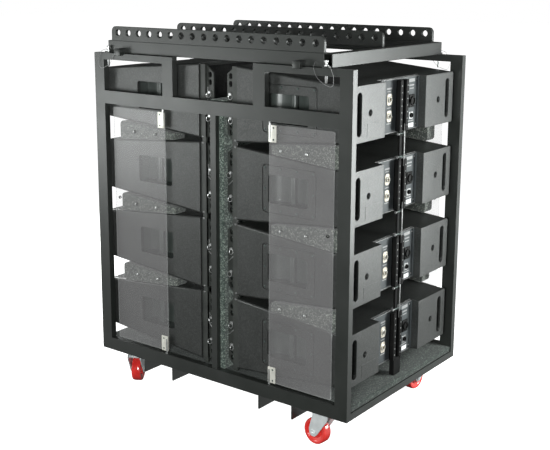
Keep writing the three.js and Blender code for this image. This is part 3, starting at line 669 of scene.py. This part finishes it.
def amplifier_mesh():
    """The control panel and the chassis behind it, in the module's own axes."""
    shape = Shape()
    back = BAY_FLOOR + 0.0003
    face = back + 0.003
    half = BAY_HALF - 0.001
    top = half_height(face) - 0.003
    shape.plate(panel(-half, half, -top, top, 0.002), [], "YZ", back, face, PANEL, 0.0005)
    for side in (-1, 1):
        shape.box((face - 0.001, -half, side * top), (face + 0.004, half, side * (top - 0.0022)),
                  PANEL_EDGE, 0.0006)
        shape.box((back, side * half, -top), (face + 0.006, side * (half - 0.002), top), PANEL, 0.0005)
        for z in (-0.083, 0.083):
            screw(shape, (face, side * (half - 0.01), z), (1, 0, 0), 0.003, ZINC)
    shape.box((back - 0.105, -0.129, -0.069), (back + 0.0005, 0.129, 0.069), PANEL, 0.002)
    for z in (0.025, -0.035):
        add_signal_socket(shape, face, SIGNAL_Y, z)
    for y, bands in PRINT_BANDS.items():
        for z, width, height in bands:
            add_block(shape, face - 0.0003, face + 0.0003, y, z, width, height, SILK, 0.0001, 1)
    add_block(shape, face - 0.0005, face + 0.004, MAINS_Y, MAINS_Z, 0.038, 0.048, PLASTIC, 0.003, 3)
    mains = [(0.017, 0), (0.017, 0.0065), (0.0155, 0.009), (0.0125, 0.009), (0.0118, 0.005), (0.0001, 0.005)]
    shape.turned(mains, (face - 0.0002, MAINS_Y, MAINS_Z), (1, 0, 0), PLASTIC, 36)
    screw(shape, (face + 0.004, MAINS_Y + 0.0165, MAINS_Z - 0.002), (1, 0, 0), 0.0026, ZINC)
    link = [(0.009, 0), (0.009, 0.0055), (0.008, 0.007), (0.0055, 0.007), (0.005, 0.002), (0.0001, 0.002)]
    shape.turned(link, (face - 0.0002, MAINS_Y, LINK_Z), (1, 0, 0), PLASTIC, 28)
    add_block(shape, face, face + 0.001, MAINS_Y, LINK_Z, 0.026, 0.026, ZINC, 0.0004)
    add_block(shape, face, face + 0.0012, MAINS_Y, -0.084, 0.036, 0.016, WHITE, 0.0004)
    for z in (-0.07, -0.02, 0.03, 0.08):
        screw(shape, (face, -0.112, z), (1, 0, 0), 0.0024, ZINC)
    return shape.mesh("amplifier")


def module_matrix(stack, level, z=None):
    """From a module's own axes (backwards from its baffle, across, up) to the frame's."""
    low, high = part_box(f"module_{stack}_{level}_enclosure")
    x = low.x if stack == "right" else high.x
    turn = Matrix.Identity(4) if stack == "right" else Matrix.Rotation(pi, 4, "Z")
    height = (low.z + high.z) / 2 if z is None else z
    return Matrix.Translation((x, (low.y + high.y) / 2, height)) @ turn


def build_modules():
    cabinet, amplifier = cabinet_mesh(), amplifier_mesh()
    for stack in STACKS:
        for level in LEVELS:
            name = f"module_{stack}_{level}"
            matrix = module_matrix(stack, level)
            piece(f"{name}_cabinet", cabinet, "rack", [f"{name}_enclosure"], matrix)
            piece(f"{name}_amplifier_panel", amplifier, "rack", [f"{name}_amplifier"],
                  matrix)
            for node, made, edge, material, slot in (
                    ("driver_baffle", "drivers", 0.001, DRIVER, "driver_black"),
                    ("grille", "mesh_grille", 0.0006, GRILLE, "grille_steel")):
                mesh = bevelled_copy(f"{name}_{node}", edge, material, material)
                piece(f"{name}_{made}", mesh, "rack", [f"{name}_{node}"])


# -------------------- rigging
CHANNEL_HALF = 0.029


def rigging_plate_outline(half):
    """One module's front rigging plate: chamfered at its inner corners."""
    edge, inner = -0.0003, -0.059
    points = [(edge, -half), (inner + 0.026, -half), (inner, -half + 0.026), (inner, half - 0.03),
              (inner + 0.04, half), (edge, half)]
    return rounded(points, 0.003, 3)


def ring_points(centre, radius, across, down):
    """A closed loop of points round the centre, in the plane of two directions."""
    across, down = Vector(across), Vector(down)
    turns = [2 * pi * i / 20 for i in range(21)]
    return [Vector(centre) + across * radius * sin(t) - down * radius * cos(t) for t in turns]


def add_rigging_pin(shape, x, z, face, side, tilt):
    """A locking pin through the plate, its head on a tilted pull ring."""
    head = [(0.0048, 0), (0.0062, 0.001), (0.0062, 0.006), (0.0045, 0.008), (0.0001, 0.008)]
    shape.rod((x, face - side * 0.02, z), (x, face, z), 0.0042, ZINC, 14)
    shape.turned(head, (x, face - side * 0.0005, z), (0, side, 0), ZINC, 18)
    down = Vector((sin(tilt), side * 0.25, -cos(tilt)))
    centre = Vector((x, face + side * 0.0045, z)) + down * 0.0105
    shape.tube(ring_points(centre, 0.0095, (cos(tilt), 0, sin(tilt)), down), 0.0013, ZINC, 6)


def front_rigging_mesh(side, name):
    """The plates, pins and bar up one side of a stack's front, in the module's own axes."""
    shape = Shape()
    edge = side * (CHEEK_Y - 0.006)
    half = FRONT_HALF - 0.003
    web_face = edge - side * 0.01
    for level, z in enumerate(CENTRES):
        outline = [(a, b + z) for a, b in rigging_plate_outline(half)]
        slots = [panel(-0.0495, -0.034, z + dz - 0.0105, z + dz + 0.0105, 0.0076, 6)
                 for dz in (0.098, 0.07, -0.08, -0.108)]
        slots += [circle(-0.02, z + dz, 0.0042, 16) for dz in (0.112, 0.0, -0.1)]
        shape.plate(outline, slots, "XZ", web_face, edge - side * 0.018, RIGGING_GREY, 0.001)
        shape.box((-0.027, edge, z - half), (-0.0003, edge - side * 0.011, z + half), RIGGING_GREY, 0.0015)
        for i, dz in enumerate((0.033, -0.055)):
            add_rigging_pin(shape, -0.0415, z + dz, web_face, side, 0.5 * sin(2.3 * level + 1.7 * i))
        link_y = edge - side * 0.0085
        shape.rod((-0.053, link_y, z - 0.014), (-0.03, link_y, z + 0.006), 0.0022, ZINC, 8)
        shape.rod((-0.0305, web_face, z + 0.01), (-0.0305, web_face, z + 0.052), 0.0016, ZINC, 8)
    for low, high in zip(CENTRES, CENTRES[1:]):
        middle = (low + high) / 2
        for z in (middle - 0.012, middle + 0.012):
            shape.turned([(0.0045, 0), (0.0045, 0.0008), (0.003, 0.0022), (0.0001, 0.0024)],
                         (-0.0135, edge - side * 0.0002, z), (0, side, 0), PANEL_EDGE, 16)
    shape.box((-0.027, edge - side * 0.002, DECK_TOP + 0.0003), (-0.008, edge - side * 0.012, CENTRES[-1]),
              RIGGING_GREY, 0.001)
    return shape.mesh(name)


def rear_rigging_mesh(name):
    """The channels between the panels of a stack's rear, in the module's own axes."""
    shape = Shape()
    back = BAY_FLOOR + 0.012
    front = back + 0.02
    rod_x = back + 0.008
    half = REAR_HALF - 0.004
    for z in CENTRES:
        shape.box((back, -CHANNEL_HALF, z - half), (back + 0.005, CHANNEL_HALF, z + half), RIGGING, 0.0008)
        for side in (-1, 1):
            shape.box((back, side * CHANNEL_HALF, z - half), (front, side * 0.012, z + half), RIGGING, 0.0015)
            for i in range(7):
                dot = (side * 0.0205, z - 0.072 + 0.024 * i)
                shape.rod((front - 0.001, *dot), (front + 0.001, *dot), 0.0028, PANEL_EDGE, 12)
    foot = CENTRES[0] - REAR_HALF + 0.01
    shape.box((back, -0.024, DECK_TOP + 0.0003), (front, 0.024, foot), RIGGING, 0.0015)
    shape.box((back + 0.001, -0.008, CENTRES[0]), (back + 0.009, 0.008, CENTRES[-1]), RIGGING, 0.001)
    for low, high in zip(CENTRES, CENTRES[1:]):
        shape.box((front - 0.006, 0.0105, low + REAR_HALF - 0.03),
                  (front - 0.003, 0.016, high - REAR_HALF + 0.03), PANEL_EDGE, 0.0008)
        for z in (low + REAR_HALF + 0.006, high - REAR_HALF - 0.006):
            shape.rod((rod_x, -0.019, z), (rod_x, 0.019, z), 0.003, DARK_ZINC, 12)
            for side in (-1, 1):
                shape.rod((rod_x, side * 0.019, z), (rod_x, side * 0.023, z), 0.005, ZINC, 12)
    return shape.mesh(name)


def build_rigging():
    for stack, sign in STACKS.items():
        matrix = module_matrix(stack, 1, 0)
        for place, side in (("near", -sign), ("far", sign)):
            node = f"rigging_{stack}_front_{place}"
            piece(f"{node}_column", front_rigging_mesh(side, node), "rack", [node], matrix)
        node = f"rigging_{stack}_rear"
        piece(f"{node}_column", rear_rigging_mesh(node), "rack", [node], matrix)


# -------------------- clear doors
DOOR_INNER, DOOR_OUTER, DOOR_SET, DOOR_THICK = 0.251, 0.527, 0.017, 0.005
DOOR_LOW, DOOR_HIGH = 0.058, 1.018       # above the underside of the rack
BLOCK_NEAR_HINGE, BLOCK_NEAR_POST, BLOCK_DEPTH = (0.206, 0.496), (0.255, 0.545), 0.06
PULL_X, PULL_Z, PULL_RADIUS = 0.504, 0.653, 0.0045
PIVOT_X, PIVOT_SET = 0.256, 0.0145
BRACKET_WIDTH, BRACKET_HEIGHT = 0.034, 0.062
MODULE_INNER = MODULE_LOW.x


def door_matrix(sx, sy):
    """From a door's own axes (outwards from the middle, inwards from the face, up) to the frame's."""
    place = Matrix.Translation((0, sy * RACK_FACE, RACK_BASE))
    return place @ Matrix.Diagonal((sx, -sy, 1, 1))


def block_outline(inner, outer, z):
    """A door block seen from the front: it fills the gap that two modules leave, a little short."""
    clearance = 0.003
    pitch = CENTRES[1] - CENTRES[0]

    def gap(x):
        return pitch / 2 - half_height(x - MODULE_INNER) - clearance

    points = [(inner, z - gap(inner)), (outer, z - gap(outer)), (outer, z + gap(outer)),
              (inner, z + gap(inner))]
    return rounded(points, [0.006, 0.014, 0.014, 0.006], 5)


def build_door(face, stack):
    sx, sy = STACKS[stack], FACES[face]
    body = f"door_{face}_{stack}"
    matrix = door_matrix(sx, sy)
    back = DOOR_SET + DOOR_THICK

    sheet = Shape()
    outline = panel(DOOR_INNER, DOOR_OUTER, DOOR_LOW, DOOR_HIGH, 0.006)
    pull = circle(PULL_X, PULL_Z, PULL_RADIUS)
    rim = circle(PULL_X, PULL_Z, PULL_RADIUS + 0.0012)
    # The sheet's outer 1.2 mm takes the lighter rim, a painted edge highlight.
    inset = 0.0012
    inner = panel(DOOR_INNER + inset, DOOR_OUTER - inset, DOOR_LOW + inset, DOOR_HIGH - inset, 0.005)
    # The inner sheet carries the painted veil of reflected light.
    sheet.plate(inner, [rim], "XZ", DOOR_SET, back, CLEAR_PAINTED_VEIL, 0.0003)
    sheet.plate(outline, [inner], "XZ", DOOR_SET, back, CLEAR_EDGE_PAINTED_HIGHLIGHT, 0.0003)
    sheet.plate(rim, [pull], "XZ", DOOR_SET - 0.0003, back, PLASTIC, 0.0003)
    piece(f"{body}_sheet", sheet.mesh(f"{body}_sheet", matrix), body, [body])

    metal = Shape()
    left = DOOR_INNER - 0.001
    for low, tip in ((DOOR_LOW, 0.042), (DOOR_HIGH - BRACKET_HEIGHT, 1.041)):
        high = low + BRACKET_HEIGHT
        plate = panel(left, left + BRACKET_WIDTH, low, high, 0.003)
        metal.plate(plate, [], "XZ", DOOR_SET - 0.0035, DOOR_SET + 0.0001, PALE_ZINC, 0.0006)
        metal.rod((PIVOT_X, PIVOT_SET, min(low + 0.01, tip)), (PIVOT_X, PIVOT_SET, max(high - 0.01, tip)),
                  0.004, ZINC, 16)
        for z in (low + 0.01, high - 0.01):
            screw(metal, (left + 0.022, DOOR_SET - 0.0035, z), (0, -1, 0), 0.0036, DARK_ZINC)
    gaps = [z - RACK_BASE for z in GAPS]
    dome = [(0.0062, 0), (0.0062, 0.0008), (0.0052, 0.003), (0.0028, 0.0042), (0.0001, 0.0045)]
    for z in gaps:
        for x in (0.302, 0.412):
            metal.turned(dome, (x, DOOR_SET + 0.0002, z), (0, -1, 0), ZINC, 22)
    piece(f"{body}_fittings", metal.mesh(f"{body}_fittings", matrix), body)

    blocks = Shape()
    ends = BLOCK_NEAR_HINGE if sx * sy > 0 else BLOCK_NEAR_POST
    for z in gaps:
        blocks.plate(block_outline(*ends, z), [], "XZ", back + 0.0002, back + BLOCK_DEPTH, BLOCK_CARPET,
                     0.0035)
    piece(f"{body}_blocks", blocks.mesh(f"{body}_blocks", matrix), body)


# -------------------- casters
WHEEL_RADIUS, WHEEL_HALF, TRAIL = 0.05, 0.019, 0.03


def wheel_mesh():
    """Axle along local Y, centred on the origin."""
    shape = Shape()
    h = WHEEL_HALF
    tyre = [(0.036, -h + 0.001), (0.039, -h), (0.0455, -h), (0.0478, -h + 0.001), (0.0495, -h + 0.004),
            (0.05, -0.0065), (0.0494, -0.006), (0.0494, -0.005), (0.05, -0.0045), (0.05, 0.0045),
            (0.0494, 0.005), (0.0494, 0.006), (0.05, 0.0065), (0.0495, h - 0.004), (0.0478, h - 0.001),
            (0.0455, h), (0.039, h), (0.036, h - 0.001), (0.034, h - 0.003), (0.034, -h + 0.003),
            (0.036, -h + 0.001)]
    shape.turned(tyre, (0, 0, 0), (0, 1, 0), RED, 64)
    web = [(0.0345, -h + 0.003), (0.0345, h - 0.003), (0.026, h - 0.005), (0.024, h + 0.001),
           (0.023, h + 0.0025), (0.01, h + 0.003), (0.0066, h + 0.003), (0.0066, -h - 0.003),
           (0.01, -h - 0.003), (0.023, -h - 0.0025), (0.024, -h - 0.001), (0.026, -h + 0.005),
           (0.0345, -h + 0.003)]
    shape.turned(web, (0, 0, 0), (0, 1, 0), RED, 64)
    for side in (-1, 1):
        seal = washer(0.0125, 0.0068, 0.0008)
        shape.turned(seal, (0, side * (h + 0.0026), 0), (0, side, 0), ZINC, 28)
    return shape.mesh("wheel")


def fork_mesh(top):
    """Origin on the floor under the swivel axis, local X towards the axle."""
    shape = Shape()
    # The whole fork takes the zinc with the painted floor bounce.
    inside = WHEEL_HALF + 0.005
    outside = inside + 0.004

    def axle_rod(start, end):
        shape.rod((TRAIL, start, WHEEL_RADIUS), (TRAIL, end, WHEEL_RADIUS), 0.006, YOKE_ZINC_PAINTED_BOUNCE, 20)

    leg = [(-0.039, top - 0.006), (-0.039, top - 0.022), (TRAIL - 0.02, WHEEL_RADIUS - 0.006),
           (TRAIL - 0.009, WHEEL_RADIUS - 0.016), (TRAIL + 0.01, WHEEL_RADIUS - 0.017),
           (TRAIL + 0.019, WHEEL_RADIUS + 0.008), (0.033, top - 0.022), (0.031, top - 0.006)]
    outline = rounded(leg, [0.001, 0.02, 0.01, 0.01, 0.01, 0.02, 0.01, 0.001], 5)
    for side in (-1, 1):
        shape.plate(outline, [], "XZ", side * inside, side * outside, YOKE_ZINC_PAINTED_BOUNCE, 0.0008)
        shape.turned(cap(0.0105, 0.0055, 0.0095, 0.0065), (TRAIL, side * outside, WHEEL_RADIUS),
                     (0, side, 0), YOKE_ZINC_PAINTED_BOUNCE, 6)
        axle_rod(side * (inside + 0.009), side * (inside + 0.0118))
    axle_rod(-outside, outside)
    crown = panel(-0.032, 0.034, -outside, outside, 0.008)
    shape.plate(crown, [], "XY", top - 0.018, top - 0.0115, YOKE_ZINC_PAINTED_BOUNCE, 0.0012)
    race = [(0.0001, top - 0.0145), (0.026, top - 0.0145), (0.0305, top - 0.012), (0.032, top - 0.0085),
            (0.0305, top - 0.0065), (0.033, top - 0.005), (0.035, top - 0.002), (0.034, top), (0.0001, top)]
    shape.turned(race, (0, 0, 0), (0, 0, 1), YOKE_ZINC_PAINTED_BOUNCE, 40)
    shape.turned(cap(0.011, 0.007, 0.0095, 0.0085), (0, 0, top - 0.018), (0, 0, -1), YOKE_ZINC_PAINTED_BOUNCE, 6)
    return shape.mesh("fork")


def build_casters():
    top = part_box("caster_front_left_fork")[1].z
    fork, wheel = fork_mesh(top), wheel_mesh()
    bolts = Shape()
    for joint in frame["joints"]:
        name = joint["name"]
        if not name.startswith("caster") or not name.endswith("_swivel"):
            continue
        caster = name[:-len("_swivel")]
        pivot = Vector(joint["pos_m"])
        roll = next(j for j in frame["joints"] if j["name"] == f"{caster}_roll")
        axle = Vector(roll["pos_m"])
        yaw = atan2(axle.y - pivot.y, axle.x - pivot.x)
        turn = Matrix.Rotation(yaw, 4, "Z")
        piece(f"{caster}_yoke", fork, f"{caster}_swivel", [f"{caster}_fork"],
              Matrix.Translation((pivot.x, pivot.y, 0)) @ turn)
        piece(f"{caster}_tyre", wheel, f"{caster}_roller", [f"{caster}_wheel"],
              Matrix.Translation(axle) @ turn)
        for dx in (-0.041, 0.041):
            for dy in (-0.033, 0.033):
                seat = (pivot.x + dx, pivot.y + dy, top + 0.0004)
                bolts.turned(cap(0.0068, 0.004, 0.006, 0.005), seat, (0, 0, -1), ZINC, 6)
    piece("caster_bolts", bolts.mesh("caster_bolts"), "rack")


# -------------------- fly grid
GRID_LEFT, GRID_RIGHT, GRID_TUBE = -0.548, 0.512, 0.048
GRID_FRONT, GRID_BACK = -RACK_FACE + 0.02, -RACK_FACE + 0.783
BEAM_WIDE, BEAM_DEEP, OVERLAP = 0.036, 0.038, 0.002
RAIL_LEFT, RAIL_RIGHT, RAIL_CORNER, RAIL_THICK = -0.527, 0.478, 0.02, 0.012
HOLE_COUNT, HOLE_PITCH, HOLE_RISE, HOLE_RADIUS = 18, 0.055, 0.031, 0.012
HOOK_X, HOOK_HALF, LUG_X, LUG_HALF = (-0.468, 0.385), 0.016, (-0.537, 0.494), 0.014
GRID_BOTTOM = RACK_TOP + 0.0003
GRID_TOP = GRID_BOTTOM + GRID_TUBE


def add_grid_tubes(shape):
    """Two beams along X, a closed tube at the left end and an open one at the right."""
    inner_front, inner_back = GRID_FRONT + BEAM_DEEP - OVERLAP, GRID_BACK - BEAM_DEEP + OVERLAP
    for low, high in (((GRID_LEFT, GRID_FRONT), (GRID_RIGHT - BEAM_WIDE + OVERLAP, GRID_FRONT + BEAM_DEEP)),
                      ((GRID_LEFT, GRID_BACK - BEAM_DEEP), (GRID_RIGHT, GRID_BACK)),
                      ((GRID_LEFT, inner_front), (GRID_LEFT + BEAM_WIDE, inner_back))):
        shape.box((*low, GRID_BOTTOM), (*high, GRID_TOP), FRAME, 0.002)
    wall = 0.003
    tube = panel(GRID_RIGHT - BEAM_WIDE, GRID_RIGHT, GRID_BOTTOM, GRID_TOP, 0.003)
    hollow = panel(GRID_RIGHT - BEAM_WIDE + wall, GRID_RIGHT - wall, GRID_BOTTOM + wall, GRID_TOP - wall,
                   0.002)
    shape.plate(tube, [hollow], "XZ", GRID_FRONT - 0.001, inner_back, FRAME, 0.0006)


def add_grid_rails(shape):
    """Three upright rails with a row of pick-up holes."""
    rail_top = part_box("fly_grid")[1].z
    middle = (RAIL_LEFT + RAIL_RIGHT) / 2
    holes = [circle(middle + (i - (HOLE_COUNT - 1) / 2) * HOLE_PITCH, GRID_TOP + HOLE_RISE, HOLE_RADIUS, 32)
             for i in range(HOLE_COUNT)]
    outline = rounded([(RAIL_LEFT, GRID_TOP - 0.001), (RAIL_RIGHT, GRID_TOP - 0.001),
                       (RAIL_RIGHT, rail_top), (RAIL_LEFT, rail_top)],
                      [0.0005, 0.0005, RAIL_CORNER, RAIL_CORNER], 8)
    for y in (GRID_FRONT, (GRID_FRONT + GRID_BACK - RAIL_THICK) / 2, GRID_BACK - 0.016):
        shape.plate(outline, holes, "XZ", y, y + RAIL_THICK, FRAME, 0.0012)


def add_grid_hooks(shape, side):
    """The hooks that hold the grid on one top rail of the rack, and the lugs that its pins go through."""
    for x in HOOK_X:
        left, right, high = x - HOOK_HALF, x + HOOK_HALF, RACK_TOP + 0.019
        shape.box((left, side * (RACK_FACE + 0.012), RACK_TOP - 0.007),
                  (right, side * (RACK_FACE + 0.001), high), FRAME, 0.0015)
        shape.box((left, side * (RACK_FACE + 0.002), GRID_BOTTOM),
                  (right, side * (RACK_FACE - 0.023), high), FRAME, 0.0015)
    for x in LUG_X:
        lug = panel(x - LUG_HALF, x + LUG_HALF, side * (RACK_FACE - 0.002), side * (RACK_FACE - 0.032), 0.003)
        hole = circle(x, side * (RACK_FACE - 0.01), 0.0052, 20)
        shape.plate(lug, [hole], "XY", GRID_BOTTOM, GRID_BOTTOM + 0.006, FRAME, 0.0006)


def build_grid():
    shape = Shape()
    add_grid_tubes(shape)
    add_grid_rails(shape)
    for side in (-1, 1):
        add_grid_hooks(shape, side)
    piece("fly_grid_frame", shape.mesh("fly_grid_frame"), "fly_grid", ["fly_grid"])


# -------------------- grid pins
LANYARD_DIAMETER = 0.0016
PIN_HEAD = [(0.008, 0), (0.008, 0.004), (0.0055, 0.006), (0.0055, 0.012), (0.0078, 0.014),
            (0.0078, 0.0185), (0.0068, 0.02), (0.0001, 0.02)]


def loop_points(corners, count):
    """A smooth open line through the corners, with so many points from each to the next."""
    corners = [Vector(c) for c in corners]
    made = []
    for i in range(len(corners) - 1):
        p0, p1 = corners[max(i - 1, 0)], corners[i]
        p2, p3 = corners[i + 1], corners[min(i + 2, len(corners) - 1)]
        for k in range(count):
            t = k / count
            made.append(0.5 * ((2 * p1) + (p2 - p0) * t + (2 * p0 - 5 * p1 + 4 * p2 - p3) * t * t
                               + (3 * p1 - p0 - 3 * p2 + p3) * t ** 3))
    made.append(corners[-1])
    return made


def build_grid_pins():
    for face, sy in FACES.items():
        for stack, sx in STACKS.items():
            node = f"grid_pin_{face}_{stack}"
            low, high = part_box(node)
            x, y = (low.x + high.x) / 2, (low.y + high.y) / 2
            seat = high.z - PIN_HEAD[-1][1]
            shape = Shape()
            sunk = seat - low.z + 0.001
            shank = [(0.0001, 0), (0.003, 0.0015), (0.0045, 0.005), (0.0045, sunk), (0.0001, sunk)]
            shape.turned(shank, (x, y, low.z), (0, 0, 1), ZINC, 24)
            shape.turned(PIN_HEAD, (x, y, seat), (0, 0, 1), ZINC, 28)
            piece(f"{node}_body", shape.mesh(f"{node}_body"), node, [node])
            add_lanyard(node, sx, sy, Vector((x, y, seat)))


def add_lanyard(pin, sx, sy, seat):
    """The steel wire that keeps a pin with the grid: from the grid's tube, down over the rail and
    back up to the groove of the pin's head."""
    grid_face = RACK_FACE - 0.02 - abs(seat.y)
    over = RACK_FACE + 0.0032 - abs(seat.y)
    low = RACK_TOP - seat.z
    corners = ((-0.045, grid_face, 0.01), (-0.047, grid_face + 0.01, 0.009), (-0.042, over, low - 0.006),
               (-0.018, over, low - 0.042), (0.03, over + 0.001, low - 0.06),
               (0.04, over + 0.003, low - 0.03), (0.026, over + 0.002, low + 0.004),
               (0.012, 0.01, 0.006), (0.0, 0.0062, 0.009))
    path = loop_points([seat + Vector((sx * along, sy * out, up)) for along, out, up in corners], 4)
    wire = Shape()
    wire.tube(path, LANYARD_DIAMETER / 2, WIRE, 8)
    obj = put(f"{pin}_lanyard", wire.mesh(f"{pin}_lanyard"))
    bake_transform(obj)


# -------------------- stage, lights and camera
FLOOR_GLOW = 1.0
LIGHT_COLOUR = (0.96, 1.0, 0.985)
BRIGHT_SIDE, BRIGHT_STRENGTH = (0.71, 0.7, 0.0), 0.8
DIM_SIDE, DIM_STRENGTH = (-0.9, -0.43, 0.0), 0.9
ROOM_STRENGTH = 0.04


def build_floor():
    bpy.ops.mesh.primitive_plane_add(size=60, location=(0, 0, 0))
    floor = bpy.context.object
    floor.name = "floor"
    material = finish("studio_floor", grey(0.86), grey(0.88), 0.8, (0.6, 0.7), 0.05, 0.0001,
                      Emission_Color=(1.0, 1.0, 1.0, 1.0), Emission_Strength=FLOOR_GLOW)
    floor.data.materials.append(material)
    floor.visible_diffuse = False
    floor.visible_glossy = False


def build_world():
    """White behind the object; for its light, a bright and a dimmer side of a dark room."""
    world = bpy.context.scene.world or bpy.data.worlds.new("world")
    bpy.context.scene.world = world
    world.use_nodes = True
    tree = world.node_tree
    tree.nodes.clear()
    direction = add_node(tree, "TexCoord").outputs["Generated"]

    def towards(axis, start, end, strength):
        dot = add_node(tree, "VectorMath", {0: direction, 1: axis}, operation="DOT_PRODUCT")
        inputs = {"Value": dot.outputs["Value"], "From Min": start, "From Max": end, "To Max": strength}
        return add_node(tree, "MapRange", inputs, interpolation_type="SMOOTHSTEP").outputs["Result"]

    def combined(operation, first, second):
        return add_node(tree, "Math", {0: first, 1: second}, operation=operation).outputs["Value"]

    sides = combined("ADD", towards(BRIGHT_SIDE, 0.35, 0.95, BRIGHT_STRENGTH),
                     towards(DIM_SIDE, 0.75, 1.0, DIM_STRENGTH))
    band = combined("MULTIPLY", towards((0, 0, 1), -0.75, -0.15, 1.0),
                    towards((0, 0, -1), -0.75, -0.35, 1.0))
    light = combined("ADD", combined("MULTIPLY", sides, band), ROOM_STRENGTH)
    room = add_node(tree, "Background", {"Color": (*LIGHT_COLOUR, 1.0), "Strength": light})
    backdrop = add_node(tree, "Background", {"Color": (1.0, 1.0, 1.0, 1.0)})
    seen = add_node(tree, "LightPath").outputs["Is Camera Ray"]
    mix = add_node(tree, "MixShader", {0: seen, 1: room.outputs[0], 2: backdrop.outputs[0]})
    add_node(tree, "OutputWorld", {"Surface": mix.outputs["Shader"]})


def area_light(name, place, target, size, power):
    """A softbox of the size at the place, turned to the target."""
    data = bpy.data.lights.new(name, "AREA")
    data.color = LIGHT_COLOUR
    data.shape = "RECTANGLE"
    data.size, data.size_y = size
    data.energy = power
    obj = put(name, data)
    obj.location = place
    obj.rotation_euler = (Vector(target) - Vector(place)).to_track_quat("-Z", "Y").to_euler()
    obj.visible_camera = False


def build_lights():
    area_light("front_softbox", (-1.85, -1.9, 0.86), (-0.3, -0.4, 0.8), (1.0, 0.7), 13)
    area_light("right_softbox", (1.8, 0.8, 0.95), (0.6, -0.3, 0.8), (0.7, 1.3), 48)
    area_light("fill_softbox", (1.7, -3.5, 1.3), (0.1, -0.4, 0.7), (1.0, 1.0), 120)
    area_light("top_softbox", (0.6, -0.4, 3.4), (0.2, -0.1, 0.0), (1.6, 1.6), 14)
    area_light("back_softbox", (-3.0, 0.8, 0.9), (-0.4, 0.3, 0.7), (1.2, 1.0), 60)


CAMERA_PLACE = (2.3731, -3.1657, 1.679)
CAMERA_YAW, CAMERA_DOWN, CAMERA_ROLL = 36.924, 11.577, 0.263     # degrees


def build_camera():
    data = bpy.data.cameras.new("camera")
    data.sensor_width = 36
    data.lens = 65.92
    data.shift_x = -0.0024
    data.shift_y = -0.0818
    camera = put("camera", data)
    turn = (Matrix.Rotation(radians(CAMERA_YAW), 4, "Z")
            @ Matrix.Rotation(radians(90 - CAMERA_DOWN), 4, "X")
            @ Matrix.Rotation(radians(CAMERA_ROLL), 4, "Z"))
    camera.matrix_world = Matrix.Translation(CAMERA_PLACE) @ turn
    bpy.context.scene.camera = camera


build_camera()
build_floor()
build_world()
build_lights()
build_rack()
build_modules()
build_rigging()
for door_face in FACES:
    for door_stack in STACKS:
        build_door(door_face, door_stack)
build_casters()
build_grid()
build_grid_pins()

bpy.context.scene.view_settings.view_transform = "Standard"
